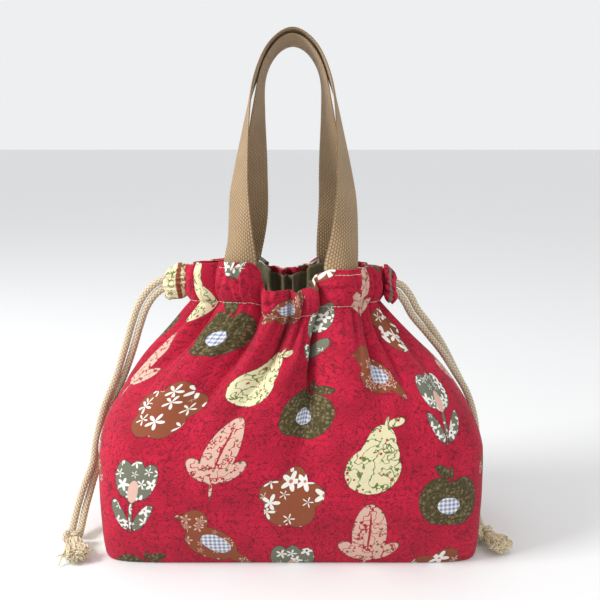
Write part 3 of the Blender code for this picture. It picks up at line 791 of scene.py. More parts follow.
RIGHT_TURNS = (90.0, 80.0, 40.0, 10.0, 20.0, 60.0, 90.0, 90.0)
LEFT_KNOT = (-0.1572, -0.0365, 0.0075)
LEFT_TUFT_END = (-0.1490, -0.0600)
RIGHT_KNOT = (0.1405, -0.0298, 0.0075)
RIGHT_TUFT_END = (0.1500, -0.0460)

# %% Braided strands
BRAID_YARNS = 3
BRAID_PITCH = 0.0190
BRAID_DEPTH = 0.17
CORD_RING_GAP = 0.00075
CORD_SIDES = 28


def carried_frames(centre):
    """Directions along, beside and above a line, carried along it without twist."""
    ahead = unit(np.gradient(centre, axis=0))
    beside = [np.array([0.0, 1.0, 0.0])]
    for direction in ahead:
        beside.append(unit(beside[-1] - direction * (beside[-1] @ direction)))
    beside = np.array(beside[1:])
    return ahead, beside, np.cross(ahead, beside)


def strand_centre(route, turns, side):
    """The middle line of one strand of a pair that winds slowly round its route."""
    length = np.linalg.norm(np.diff(route, axis=0), axis=1).sum()
    centre = smooth_curve(route, int(length / CORD_RING_GAP))
    _, first, second = carried_frames(centre)
    turned = np.interp(np.linspace(0, 1, len(centre)), np.linspace(0, 1, len(turns)), turns)
    turned = np.radians(turned)[:, None]
    return centre + side * 0.5 * CORD_SPACING * (first * np.cos(turned) + second * np.sin(turned))


def braid(angles, along):
    """Height of the braid's surface, from 0 in a gap to 1 on a yarn."""
    turn = 2 * math.pi * along / BRAID_PITCH
    right = np.sin(BRAID_YARNS * (angles - turn))
    left = np.sin(BRAID_YARNS * (angles + turn))
    return np.maximum(np.abs(right) ** 0.7 * (left > 0), np.abs(left) ** 0.7 * (left <= 0)) * 0.5 + 0.5 * (
        0.5 + 0.5 * right * left)


def braided_tube(name, centre, radius):
    """A mesh tube along a line with the braid in its shape, closed at both ends."""
    _, first, second = carried_frames(centre)
    along = np.concatenate([[0.0], np.cumsum(np.linalg.norm(np.diff(centre, axis=0), axis=1))])
    angles = np.linspace(0.0, 2 * math.pi, CORD_SIDES + 1)
    relief = braid(angles[None, :], along[:, None])
    relief[:, -1] = relief[:, 0]
    size = radius * (1.0 - BRAID_DEPTH + BRAID_DEPTH * relief)
    points = centre[:, None, :] + size[..., None] * (
        first[:, None, :] * np.cos(angles)[None, :, None]
        + second[:, None, :] * np.sin(angles)[None, :, None])
    points[:, -1] = points[:, 0]
    flat_tube = np.stack(np.broadcast_arrays(angles[None, :] / (2 * math.pi), along[:, None]), axis=-1)
    return bent_grid(name, points, flat_tube, ends="filled"), along[-1]


strands = []
for side_name, route, turns in (("left", LEFT_ROUTE, LEFT_TURNS), ("right", RIGHT_ROUTE, RIGHT_TURNS)):
    for level, side in (("upper", 1.0), ("lower", -1.0)):
        line = strand_centre(route, turns, side)
        strand, length = braided_tube(f"{side_name}_braid_{level}", line, CORD / 2)
        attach(strand, "root")
        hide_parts(f"{side_name}_cord_{level}")
        strands.append((strand, line, length, side_name))
        print(f"{strand.name}: {length * 1000:.0f} mm long")

# %% [markdown]
# ## Knots and frayed ends
#
# The two strands are tied in an overhand knot, and their ends are left to fray. An overhand knot pulled
# tight is close to a trefoil, a loop that passes through itself three times, so each knot is a braided
# tube along a small trefoil. The tuft is a bundle of thin yarns that leave the knot together, spread
# and curl, and come to rest on the floor.

# %% Knots and tufts
KNOT_WIDTH = 0.0165
KNOT_HEIGHT = 0.0135
KNOT_YARN = 0.0027
KNOT_RINGS = 150
HEART_SHARE = 0.72
TUFT_YARNS = 150
TUFT_YARN = 0.00055
TUFT_SPREAD = 0.0060
TUFT_STEPS = 11
FLOOR_CLEAR = 0.0006


def trefoil(count):
    """A trefoil that fits a ball of diameter 1."""
    turn = np.linspace(0.0, 2 * math.pi, count, endpoint=False)
    line = np.column_stack([
        np.sin(turn) + 2.0 * np.sin(2.0 * turn),
        np.cos(turn) - 2.0 * np.cos(2.0 * turn),
        -1.3 * np.sin(3.0 * turn),
    ])
    return line / 6.0


def make_knot(name, node, place, tuft_end):
    """A tight overhand knot of braided cord round a solid heart."""
    place = np.array(place)
    ahead = unit(np.array((*tuft_end, place[2])) - place)
    across = unit(np.cross([0.0, 0.0, 1.0], ahead))
    upright = np.cross(ahead, across)
    size = np.array([KNOT_WIDTH, KNOT_WIDTH, KNOT_HEIGHT]) - 2.0 * KNOT_YARN
    line = trefoil(KNOT_RINGS) * size
    line = place + line[:, :1] * across + line[:, 1:2] * upright * 0.9 + line[:, 2:3] * ahead * 1.1
    line = np.vstack([line, line[:1]])
    line[:, 2] = np.maximum(line[:, 2], KNOT_YARN + FLOOR_CLEAR)
    knot, _ = braided_tube(name, line, KNOT_YARN)
    heart = bmesh.new()
    bmesh.ops.create_icosphere(heart, subdivisions=3, radius=0.5)
    for vertex in heart.verts:
        x, y, z = vertex.co
        level = (across * x + ahead * y) * HEART_SHARE * KNOT_WIDTH
        vertex.co = place + level + np.array([0.0, 0.0, z * HEART_SHARE * KNOT_HEIGHT])
    heart_mesh = bpy.data.meshes.new(f"{name}_heart")
    heart.to_mesh(heart_mesh)
    heart.free()
    joined = bmesh.new()
    joined.from_mesh(knot.data)
    joined.from_mesh(heart_mesh)
    bmesh.ops.recalc_face_normals(joined, faces=joined.faces)
    joined.to_mesh(knot.data)
    joined.free()
    bpy.data.meshes.remove(heart_mesh)
    knot.data.shade_smooth()
    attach(knot, "root")
    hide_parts(node)
    return knot, place, ahead, across


def round_yarns(name, lines, radius, sides=5):
    """Many thin yarns in one piece, each a tube along its own line."""
    curve = bpy.data.curves.new(name, "CURVE")
    curve.dimensions = "3D"
    curve.bevel_depth = radius
    curve.bevel_resolution = max(0, (sides - 4) // 2)
    curve.use_fill_caps = True
    for line in lines:
        spline = curve.splines.new("POLY")
        spline.points.add(len(line) - 1)
        for target, point in zip(spline.points, line):
            target.co = (*point, 1.0)
    holder = bpy.data.objects.new(name, curve)
    bpy.context.scene.collection.objects.link(holder)
    mesh = bpy.data.meshes.new_from_object(holder.evaluated_get(bpy.context.evaluated_depsgraph_get()))
    bpy.data.objects.remove(holder, do_unlink=True)
    bpy.data.curves.remove(curve)
    piece = bmesh.new()
    piece.from_mesh(mesh)
    bpy.data.meshes.remove(mesh)
    bmesh.ops.remove_doubles(piece, verts=piece.verts, dist=1e-7)
    bmesh.ops.recalc_face_normals(piece, faces=piece.faces)
    return keep(name, piece)


def make_tuft(name, place, ahead, across, tuft_end):
    """Frayed yarns from the knot to the floor."""
    reach = np.linalg.norm(np.array(tuft_end) - place[:2])
    lines = []
    for _ in range(TUFT_YARNS):
        side, height = np.clip(chance.normal(0.0, 0.42), -0.9, 0.9), chance.uniform(-1.0, 1.0)
        start = place + ahead * 0.30 * KNOT_WIDTH + across * side * 0.0045
        start = start + np.array([0.0, 0.0, 0.0035 * height])
        length = reach * chance.uniform(0.80, 0.96)
        curl = chance.uniform(-0.0024, 0.0024, (3, 2))
        line = []
        for share in np.linspace(0.0, 1.0, TUFT_STEPS):
            point = start + ahead * length * share * (1.0 - 0.12 * abs(side))
            point = point + across * (side * TUFT_SPREAD * share ** 1.2)
            for wave, (a, b) in enumerate(curl):
                swing = math.sin(math.pi * (wave + 1.4) * share) * share
                point = point + across * a * swing
                point = point + np.array([0.0, 0.0, b * swing])
            point[2] = point[2] * (1.0 - 0.30 * share) + 0.0012 * share
            point[2] = max(point[2], FLOOR_CLEAR + TUFT_YARN)
            line.append(point)
        lines.append(line)
    tuft = round_yarns(name, lines, TUFT_YARN)
    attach(tuft, "root")
    return tuft


knots = {}
for side_name, place, tuft_end in (("left", LEFT_KNOT, LEFT_TUFT_END), ("right", RIGHT_KNOT, RIGHT_TUFT_END)):
    knot, spot, ahead, across = make_knot(f"{side_name}_overhand", f"{side_name}_knot", place, tuft_end)
    tuft = make_tuft(f"{side_name}_tuft", spot, ahead, across, tuft_end)
    knots[side_name] = (knot, tuft)
    print(count_faces(knot, tuft))

# %% [markdown]
# ## Puckered ends of the casing
#
# The cord leaves the casing at each side through the end of a narrow channel, which the pull of the
# cord gathers into a small ruffled cuff. It is a sleeve with deep flutes, made from the printed cloth.

# %% Casing ends
CORD_ROOM = 0.0018
CUFF_WALL = 0.0024
CUFF_FLUTES = 9
CUFF_SMALL_FLUTES = 13
CUFF_ROWS = 44
CUFF_COLUMNS = 144
CUFF_LEFT = (-0.0742, -1.0, 0.0165)
CUFF_RIGHT = (0.0672, 1.0, 0.0088)
CUFF_PROFILE = np.array((
    # share of the length, wall
    (0.00, 1.60),
    (0.18, 2.25),
    (0.42, 2.40),
    (0.70, 1.85),
    (0.88, 1.55),
    (1.00, 0.80),
))


def make_cuff(name, node, root_side_length, route, seed):
    """A fluted sleeve round the start of a pair of strands, outside and then back in through its bore."""
    root, side, length = root_side_length
    random = np.random.default_rng(seed)
    start = np.array(route[0])
    after = smooth_curve(route, 14)[1]
    slope = (after - start) / (after[0] - start[0])
    half_depth = CORD / 2 + CORD_ROOM
    half_height = half_depth + CORD_SPACING / 2
    angles = np.linspace(0.0, 2 * math.pi, CUFF_COLUMNS + 1)
    phases = random.uniform(0.0, 2 * math.pi, 4)
    rows, flats = [], []
    for share in np.linspace(0.0, 1.0, CUFF_ROWS):
        wall = between(CUFF_PROFILE[:, 0], CUFF_PROFILE[:, 1], np.array([share]))[0] * CUFF_WALL
        flute = np.cos(CUFF_FLUTES * angles + 0.9 * np.sin(2 * angles + phases[0]) + 1.2 * share)
        second = np.cos(CUFF_SMALL_FLUTES * angles + phases[1] + 2.0 * share)
        shape = 0.74 + 0.26 * (1.0 - np.abs(flute)) + 0.10 * second * (0.4 + share)
        ripple = 0.0004 * np.sin(9.0 * share + 3 * angles + phases[2])
        reach = wall * shape + ripple
        middle = start + slope * (root + side * length * share - start[0])
        lean = 0.0012 * side * np.cos(3 * angles + phases[3]) * share
        rows.append(middle + np.column_stack([
            lean, (half_depth + reach) * np.cos(angles), (half_height + reach) * np.sin(angles)]))
        flats.append(np.column_stack([angles * 0.008, np.full(len(angles), share * length)]))
    for share in (1.0, 0.66, 0.33, 0.0):
        middle = start + slope * (root + side * length * share - start[0])
        rows.append(middle + np.column_stack([
            np.zeros(len(angles)), half_depth * np.cos(angles), half_height * np.sin(angles)]))
        flats.append(np.column_stack([angles * 0.008, np.full(len(angles), length * (2.0 - share))]))
    rows.append(rows[0].copy())
    flats.append(flats[0])
    cuff = bent_grid(name, np.array(rows), np.array(flats))
    bm = bmesh.new()
    bm.from_mesh(cuff.data)
    bmesh.ops.remove_doubles(bm, verts=bm.verts, dist=1e-7)
    bmesh.ops.recalc_face_normals(bm, faces=bm.faces)
    bm.to_mesh(cuff.data)
    bm.free()
    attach(cuff, "root")
    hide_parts(node)
    print(count_faces(cuff))
    return cuff


left_cuff = make_cuff("left_cuff", "casing_end_left", CUFF_LEFT, LEFT_ROUTE, 3)
right_cuff = make_cuff("right_cuff", "casing_end_right", CUFF_RIGHT, RIGHT_ROUTE, 5)

# %% [markdown]
# ## Stitches
#
# A pale thread shows as a row of single stitches that holds the casing, and as a second row across the
# panels in front of the straps. Each stitch is a short, slightly raised loop of thread laid on the cloth.

# %% Stitches
STITCH = 0.0025
STITCH_GAP = 0.0006
THREAD = 0.00021
STITCH_STAND = 0.00012


def stitch_lines(first, last, height, rise):
    """Short lines of thread along the cloth between two threads of it."""
    count = int((last - first) * CLOTH_ROUND / (STITCH + STITCH_GAP))
    lines = []
    for index in range(count):
        begin = first + (last - first) * index / count
        end = begin + (last - first) / count * STITCH / (STITCH + STITCH_GAP)
        places = np.linspace(begin, end, 5)
        stack = np.array([cloth_row(places % 1.0, height, max(0.0, rise + step)) for step in (-0.03, 0.03)])
        line = stack.mean(axis=0)
        flat_normal = unit(np.cross(line[-1] - line[0], stack[1, 2] - stack[0, 2]))
        bow = np.sin(np.linspace(0.0, math.pi, 5))[:, None]
        lines.append(line + flat_normal * (STITCH_STAND + THREAD * (bow - 0.35)))
    return lines


casing_stitches = round_yarns("casing_stitches", stitch_lines(0.0, 1.0, 1.0, 0.0), THREAD, 6)
rim_rows = []
for pleat in LEFT_STRAP_PLEATS + RIGHT_STRAP_PLEATS:
    margin = 0.20 * (PLEATS[pleat + 1, 0] - PLEATS[pleat, 0])
    rim_rows += stitch_lines(PLEATS[pleat, 0] + margin, PLEATS[pleat + 1, 0] - margin, 1.0, 0.88)
rim_stitches = round_yarns("rim_stitches", rim_rows, THREAD, 6)
for piece in (casing_stitches, rim_stitches):
    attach(piece, "root")
print(count_faces(casing_stitches, rim_stitches))

# %% [markdown]
# ## Wiring for the finishes
#
# Every finish is a net of shader nodes. A small helper gives the nodes short names, so that a finish
# reads as a recipe. All patterns lie on the flat cloth's own coordinates, in millimetres, and so they
# follow the gathers as a real print does.

# %% Node wiring
class Wiring:
    """A material and short names for the nodes it is built from."""

    def __init__(self, name, map_name="cloth"):
        self.material = bpy.data.materials.new(name)
        self.material.use_nodes = True
        self.tree = self.material.node_tree
        self.shader = self.tree.nodes["Principled BSDF"]
        flat = self.add("ShaderNodeUVMap", uv_map=map_name).outputs["UV"]
        self.flat = self.vector("SCALE", flat, scale=1000.0)

    def add(self, kind, **settings):
        node = self.tree.nodes.new(kind)
        for key, value in settings.items():
            setattr(node, key, value)
        return node

    def put(self, value, socket):
        if isinstance(value, bpy.types.NodeSocket):
            self.tree.links.new(value, socket)
        elif isinstance(value, tuple) and len(value) == 3 and socket.type == "RGBA":
            socket.default_value = (*value, 1.0)
        else:
            socket.default_value = value

    def math(self, operation, first, second=None, third=None, clamp=False):
        node = self.add("ShaderNodeMath", operation=operation, use_clamp=clamp)
        for value, socket in zip((first, second, third), node.inputs):
            if value is not None:
                self.put(value, socket)
        return node.outputs[0]

    def vector(self, operation, first, second=None, scale=None):
        node = self.add("ShaderNodeVectorMath", operation=operation)
        self.put(first, node.inputs[0])
        if second is not None:
            self.put(second, node.inputs[1])
        if scale is not None:
            self.put(scale, node.inputs["Scale"])
        return node.outputs["Value" if operation in ("LENGTH", "DOT_PRODUCT", "DISTANCE") else "Vector"]

    def mix(self, share, first, second, blend="MIX"):
        node = self.add("ShaderNodeMix", data_type="RGBA", blend_type=blend)
        for value, socket in zip((share, first, second), (node.inputs[0], node.inputs[6], node.inputs[7])):
            self.put(value, socket)
        return node.outputs[2]

    def split(self, vector):
        node = self.add("ShaderNodeSeparateXYZ")
        self.put(vector, node.inputs[0])
        return node.outputs[0], node.outputs[1]

    def joined(self, across, up, deep=0.0):
        node = self.add("ShaderNodeCombineXYZ")
        for value, socket in zip((across, up, deep), node.inputs):
            self.put(value, socket)
        return node.outputs[0]

    def noise(self, vector, scale, detail=2.0):
        node = self.add("ShaderNodeTexNoise")
        self.put(vector, node.inputs["Vector"])
        node.inputs["Scale"].default_value = scale
        node.inputs["Detail"].default_value = detail
        return node.outputs["Fac"]

    def step(self, value, low, high):
        """0 below low and 1 above high, and the other way round if high is the lower."""
        node = self.add("ShaderNodeMapRange", interpolation_type="SMOOTHSTEP")
        for item, socket in zip((value, min(low, high), max(low, high)), node.inputs):
            self.put(item, socket)
        node.inputs[3].default_value = float(low > high)
        node.inputs[4].default_value = float(low <= high)
        return node.outputs[0]

    def cells(self, vector, size):
        """Distance to the nearest of many scattered centres in mm, the way from it, and its colour."""
        node = self.add("ShaderNodeTexVoronoi")
        self.put(vector, node.inputs["Vector"])
        node.inputs["Scale"].default_value = 1.0 / size
        node.inputs["Randomness"].default_value = 0.6
        offset = self.vector("SUBTRACT", vector, node.outputs["Position"])
        return self.vector("LENGTH", offset), offset, node.outputs["Color"]

    def petals(self, vector, size, count, reach, depth=0.42):
        """A mask of many small flowers with a number of petals, and a mask of their hearts."""
        far, offset, _ = self.cells(vector, size)
        x, y = self.split(offset)
        turn = self.math("MULTIPLY", self.math("ARCTAN2", y, x), float(count))
        edge = self.math("MULTIPLY_ADD", self.math("COSINE", turn), reach * depth, reach)
        gap = self.math("SUBTRACT", far, edge)
        return gap, far

    def finish(self, colour, rough, height=None, bump=0.4, distance=0.0003, sheen=0.06):
        self.put(colour, self.shader.inputs["Base Color"])
        self.shader.inputs["Roughness"].default_value = rough
        self.shader.inputs["Sheen Weight"].default_value = sheen
        self.shader.inputs["Sheen Roughness"].default_value = 0.5
        self.shader.inputs["Specular IOR Level"].default_value = 0.25
        if height is not None:
            node = self.add("ShaderNodeBump")
            node.inputs["Strength"].default_value = bump
            node.inputs["Distance"].default_value = distance
            self.put(height, node.inputs["Height"])
            self.put(node.outputs[0], self.shader.inputs["Normal"])
        return self.material


def weave_height(net, thread):
    """Plain weave, over and under, and a share of uneven slubs."""
    x, y = net.split(net.flat)
    over = net.math("SINE", net.math("MULTIPLY", x, math.pi / thread))
    under = net.math("SINE", net.math("MULTIPLY", y, math.pi / thread))
    slub = net.noise(net.vector("MULTIPLY", net.flat, (0.15, 1.6, 1.0)), 1.0, 3.0)
    return net.math("MULTIPLY_ADD", slub, 1.2, net.math("MULTIPLY", over, under))


print("finishes are wired in millimetres of flat cloth")

# %% [markdown]
# ## The patchwork print
#
# The real cloth carries a repeat of patch pictures on a ground of doodled roses. The pictures here are
# plain generic ones, made from ellipses: pears, apples, birds, tulips, leaves and blossoms. They sit in
# a half-drop repeat, turned and mirrored by chance, and each kind is filled with a small print of its
# own. Ellipses keep the whole pattern a formula, so it stays sharp at any distance.

# %% Patchwork print
PRINT_COLUMNS = 14
PRINT_WIDTH = CLOTH_ROUND * 1000.0 / PRINT_COLUMNS
PRINT_HEIGHT = 62.0
PRINT_RISE = 8.0
OUTLINE = 0.35
RED = (0.52, 0.008, 0.040)
DEEP_RED = (0.31, 0.004, 0.021)
MAROON = (0.090, 0.004, 0.014)
CREAM = (0.72, 0.66, 0.42)
OLIVE = (0.060, 0.046, 0.016)
RUST = (0.245, 0.066, 0.028)
GREY_GREEN = (0.155, 0.160, 0.115)
PINK = (0.66, 0.42, 0.34)
WHITE = (0.78, 0.76, 0.70)
LEAF_GREEN = (0.13, 0.17, 0.045)
GINGHAM_BLUE = (0.16, 0.22, 0.42)
INK = (0.05, 0.025, 0.018)
SPRIG_RED = (0.42, 0.03, 0.03)
VEIN_RED = (0.34, 0.02, 0.03)

# Each motif is a union of ellipses: middle across and up, half width, half height in mm, turn in degrees
MOTIFS = {
    "pear": ((0, -10, 19, 17, 0), (0, 8, 11, 14, 0), (1, 0, 14, 15, 0), (2, 24, 1.2, 5, -15),
             (9, 25, 7, 3, 25)),
    "apple": ((-8, -3, 13, 17, 8), (8, -3, 13, 17, -8), (0, -12, 12, 8, 0), (1, 17, 1.2, 5, -12),
              (8, 18, 7, 3.2, 28)),
    "bird": ((0, -4, 19, 13, 18), (14, 12, 9, 9, 0), (-20, -13, 13, 4.5, 35), (24, 13, 4, 1.8, 0)),
    "tulip": ((-8, 12, 7, 13, 12), (8, 12, 7, 13, -12), (0, 11, 7.5, 15, 0), (0, -12, 1.3, 14, 0),
              (-8, -14, 4, 12, 30), (8, -14, 4, 12, -30)),
    "leaf": ((0, 4, 12, 24, 0), (0, -24, 1.2, 7, 0), (-12, -10, 5, 11, 50), (12, -10, 5, 11, -50)),
    "blossom": ((0, 11, 10, 12, 0), (10.5, 3.4, 12, 10, 18), (6.5, -9, 10.5, 11.5, -36),
                (-6.5, -9, 10.5, 11.5, 36), (-10.5, 3.4, 12, 10, -18)),
}
PATCHES = {
    "pear": (-5, -12, 7, 6, 20), "apple": (0, -6, 8, 6, 0), "bird": (-3, -3, 11, 6.5, 20),
    "tulip": (0, 4, 3.6, 8, 0), "leaf": (0, 6, 0.8, 16, 0), "blossom": (0, 0, 4.6, 4.6, 0),
}


def ellipses(net, place, table):
    """How far a place is outside the nearest ellipse of a table, in millimetres."""
    nearest = None
    for across, up, wide, tall, turn in table:
        mapping = net.add("ShaderNodeMapping", vector_type="TEXTURE")
        net.put(place, mapping.inputs["Vector"])
        mapping.inputs["Location"].default_value = (across, up, 0.0)
        mapping.inputs["Rotation"].default_value = (0.0, 0.0, math.radians(turn))
        mapping.inputs["Scale"].default_value = (wide, tall, 1.0)
        length = net.vector("LENGTH", mapping.outputs[0])
        gap = net.math("MULTIPLY_ADD", length, float(min(wide, tall)), -float(min(wide, tall)))
        nearest = gap if nearest is None else net.math("MINIMUM", nearest, gap)
    return nearest


def sprigs(net, ground, line, bloom, size):
    """A fill of small scribbled stems with dots for blooms."""
    wander = net.noise(net.flat, 1.0 / size, 2.0)
    stem = net.step(net.math("ABSOLUTE", net.math("SUBTRACT", wander, 0.5)), 0.030, 0.010)
    far, _, _ = net.cells(net.flat, size * 0.75)
    inked = net.mix(stem, ground, line)
    return net.mix(net.step(far, 1.25, 0.85), inked, bloom)


def flowered(net, ground, petal, heart, size, reach, outline_only=False):
    """A fill of small five-petalled flowers, filled or only drawn round."""
    gap, far = net.petals(net.flat, size, 5, reach)
    if outline_only:
        shown = net.step(net.math("ABSOLUTE", gap), 0.75, 0.35)
    else:
        shown = net.step(gap, 0.15, -0.15)
    return net.mix(net.step(far, reach * 0.34, reach * 0.20), net.mix(shown, ground, petal), heart)


def gingham(net, size):
    """Small blue and white checks."""
    x, y = net.split(net.flat)
    waves = [net.math("SINE", net.math("MULTIPLY", way, math.pi / size)) for way in (x, y)]
    bars = [net.step(wave, -0.1, 0.1) for wave in waves]
    dark = net.math("MULTIPLY", net.math("ADD", bars[0], bars[1]), 0.5)
    return net.mix(dark, WHITE, GINGHAM_BLUE)


def rose_ground(net):
    """Red cloth covered in thin dark doodles of roses, spirals among wandering lines."""
    far, offset, seed = net.cells(net.flat, 9.5)
    x, y = net.split(offset)
    warp = net.math("MULTIPLY", net.noise(net.flat, 0.32, 2.0), 5.0)
    angle = net.math("ARCTAN2", y, x)
    spiral = net.math("SINE", net.math("ADD", net.math("MULTIPLY_ADD", far, 2.3, angle), warp))
    curl = net.step(net.math("ABSOLUTE", spiral), 0.52, 0.18)
    curl = net.math("MULTIPLY", curl, net.step(far, 5.0, 4.0))
    wander = net.noise(net.flat, 0.21, 3.0)
    stems = net.step(net.math("ABSOLUTE", net.math("SUBTRACT", wander, 0.5)), 0.036, 0.012)
    stems = net.math("MULTIPLY", stems, net.step(far, 3.2, 4.0))
    mottle = net.noise(net.flat, 0.045, 3.0)
    ground = net.mix(net.step(mottle, 0.30, 0.72), RED, DEEP_RED)
    ground = net.mix(0.62, RED, ground)
    drawn = net.math("MULTIPLY", net.math("MAXIMUM", curl, stems), 0.72)
    return net.mix(drawn, ground, MAROON)


def patchwork(net):
    """The whole print: the ground with a half-drop repeat of filled motifs."""
    u, v = net.split(net.flat)
    column = net.math("FLOOR", net.math("DIVIDE", u, PRINT_WIDTH))
    odd = net.math("FLOORED_MODULO", column, 2.0)
    raised = net.math("ADD", net.math("MULTIPLY_ADD", odd, PRINT_HEIGHT / 2, PRINT_RISE), v)
    row = net.math("FLOOR", net.math("DIVIDE", raised, PRINT_HEIGHT))
    across = net.math("SUBTRACT", u, net.math("MULTIPLY", net.math("ADD", column, 0.5), PRINT_WIDTH))
    up = net.math("SUBTRACT", raised, net.math("MULTIPLY", net.math("ADD", row, 0.5), PRINT_HEIGHT))
    draw = net.add("ShaderNodeTexWhiteNoise", noise_dimensions="2D")
    net.put(net.joined(column, row), draw.inputs["Vector"])
    mirrored = net.math("MULTIPLY_ADD", net.math("GREATER_THAN", draw.outputs["Value"], 0.5), 2.0, -1.0)
    place = net.joined(net.math("MULTIPLY", across, mirrored), up)
    tilt = net.math("MULTIPLY_ADD", draw.outputs["Value"], 0.56, -0.28)
    turned = net.add("ShaderNodeVectorRotate", rotation_type="Z_AXIS")
    net.put(place, turned.inputs["Vector"])
    net.put(tilt, turned.inputs["Angle"])
    wobble = net.math("MULTIPLY_ADD", net.noise(net.flat, 0.12, 2.0), 1.4, -0.7)
    place = net.vector("ADD", turned.outputs[0], net.joined(wobble, wobble))
    kind = net.math("FLOORED_MODULO", net.math("MULTIPLY_ADD", row, 2.0, column), 6.0)
    fills = {
        "pear": sprigs(net, CREAM, LEAF_GREEN, SPRIG_RED, 8.0),
        "apple": sprigs(net, OLIVE, (0.14, 0.11, 0.045), (0.17, 0.14, 0.07), 4.0),
        "bird": flowered(net, RUST, PINK, (0.36, 0.12, 0.06), 9.5, 3.0, True),
        "tulip": flowered(net, GREY_GREEN, WHITE, MAROON, 8.5, 3.4),
        "leaf": sprigs(net, PINK, VEIN_RED, LEAF_GREEN, 7.0),
        "blossom": flowered(net, RUST, WHITE, (0.50, 0.16, 0.12), 13.0, 5.2),
    }
    colour = rose_ground(net)
    checks = gingham(net, 1.5)
    inlays = {"apple": checks, "bird": checks, "tulip": PINK, "leaf": VEIN_RED}
    for number, (name, table) in enumerate(MOTIFS.items()):
        chosen = net.math("COMPARE", kind, float(number), 0.5)
        gap = ellipses(net, place, table)
        inside = net.math("MULTIPLY", net.step(gap, 0.12, -0.12), chosen)
        line = net.step(net.math("ABSOLUTE", gap), OUTLINE, 0.10)
        patch = net.step(ellipses(net, place, (PATCHES[name],)), 0.15, -0.15)
        fill = fills[name] if name in ("blossom", "pear") else net.mix(patch, fills[name], inlays[name])
        colour = net.mix(inside, colour, fill)
        edge = net.math("MULTIPLY", net.math("MULTIPLY", line, chosen), 0.75)
        colour = net.mix(edge, colour, INK)
    return colour


def aged(net, colour, amount=0.10):
    """Uneven dye and a little fading, as a share of the colour."""
    slub = net.noise(net.vector("MULTIPLY", net.flat, (0.05, 1.4, 1.0)), 1.0, 3.0)
    warp = net.noise(net.vector("MULTIPLY", net.flat, (1.4, 0.05, 1.0)), 1.0, 3.0)
    broad = net.noise(net.flat, 0.018, 2.0)
    uneven = net.math("ADD", net.math("ADD", slub, warp), broad)
    shade = net.math("MULTIPLY_ADD", uneven, amount, 1.0 - 1.5 * amount)
    return net.mix(1.0, colour, net.joined(shade, shade, shade), "MULTIPLY")


print_net = Wiring("patchwork_print")
printed = print_net.finish(
    aged(print_net, patchwork(print_net)), 0.86, weave_height(print_net, 0.55), 0.45, 0.0002)
bag_shell.data.materials.append(printed)
print(f"print: {PRINT_COLUMNS} columns of motifs, {PRINT_WIDTH:.0f} by {PRINT_HEIGHT:.0f} mm each,",
      len(print_net.tree.nodes), "nodes")

# %% [markdown]
# ## Cuffs, lining, webbing, cord and thread
#
# The cuffs are cut from other parts of the same print, so one shows cream sprigs and the other red.
# The lining is a plain olive weave. The webbing is woven in short staggered floats, paler on their
# crowns, with painted shade in the gaps between them. The braid's yarns are pale where they stand
# out, with painted shade in the grooves between them.

# %% The other finishes
WEBBING = (0.47, 0.325, 0.180)
# painted shade: the dark colour given to the gaps between the webbing's floats
WEBBING_GAP_PAINTED_SHADE = (0.115, 0.066, 0.030)
CORD_PALE = (0.66, 0.56, 0.40)
# painted shade: the dark colour given to the grooves between the braid's yarns
CORD_GROOVE_PAINTED_SHADE = (0.20, 0.135, 0.065)
FLOAT_WIDTH = 1.55
FLOAT_LENGTH = 2.6


def cuff_finish(name, ground, stripe, stripe_low, stripe_high):
    net = Wiring(name)
    x, y = net.split(net.flat)
    colour = sprigs(net, ground, LEAF_GREEN if ground == CREAM else MAROON, SPRIG_RED, 6.0)
    band = net.math("MULTIPLY", net.step(y, stripe_low - 0.4, stripe_low + 0.4),
                    net.step(y, stripe_high + 0.4, stripe_high - 0.4))
    return net.finish(aged(net, net.mix(band, colour, stripe)), 0.86, weave_height(net, 0.55), 0.45, 0.0002)


left_cuff.data.materials.append(cuff_finish("cream_cuff", CREAM, RUST, 4.0, 7.5))
right_cuff.data.materials.append(cuff_finish("red_cuff", RED, GREY_GREEN, 3.4, 5.2))

lining_net = Wiring("olive_lining")
threads_seen = weave_height(lining_net, 0.6)
flecks = lining_net.noise(lining_net.flat, 0.6, 4.0)
olive = lining_net.mix(flecks, (0.095, 0.080, 0.040), (0.185, 0.160, 0.090))
lining.data.materials.append(lining_net.finish(aged(lining_net, olive, 0.2), 0.9, threads_seen, 0.5, 0.0002))


def webbing_finish(name, pale, dark):
    net = Wiring(name)
    x, y = net.split(net.flat)
    column = net.math("FLOOR", net.math("DIVIDE", x, FLOAT_WIDTH))
    odd = net.math("FLOORED_MODULO", column, 2.0)
    shifted = net.math("MULTIPLY_ADD", odd, FLOAT_LENGTH / 2, y)
    side = net.math("SUBTRACT", net.math("FLOORED_MODULO", net.math("DIVIDE", x, FLOAT_WIDTH), 1.0), 0.5)
    lengths = net.math("DIVIDE", shifted, FLOAT_LENGTH)
    end = net.math("SUBTRACT", net.math("FLOORED_MODULO", lengths, 1.0), 0.5)
    far = net.vector("LENGTH", net.joined(side, end))
    crown = net.step(far, 0.60, 0.22)
    lines = net.noise(net.vector("MULTIPLY", net.flat, (5.0, 0.25, 1.0)), 1.0, 3.0)
    broad = net.noise(net.flat, 0.05, 3.0)
    # shade runs from painted shade in the gaps between the floats (the dark colour) to the webbing's colour
    # on their crowns (the pale one); the thread streaks and broad noise are the webbing's own uneven tone
    shade = net.math("MULTIPLY_ADD", lines, 0.35, net.math("MULTIPLY", crown, 0.65))
    shade = net.math("MULTIPLY_ADD", net.math("SUBTRACT", broad, 0.5), 0.35, shade, clamp=True)
    return net.finish(net.mix(shade, dark, pale), 0.82, crown, 0.75, 0.0004, 0.15)


front_handle.data.materials.append(webbing_finish("webbing", WEBBING, WEBBING_GAP_PAINTED_SHADE))
rear_handle.data.materials.append(webbing_finish("webbing_rear", WEBBING, WEBBING_GAP_PAINTED_SHADE))

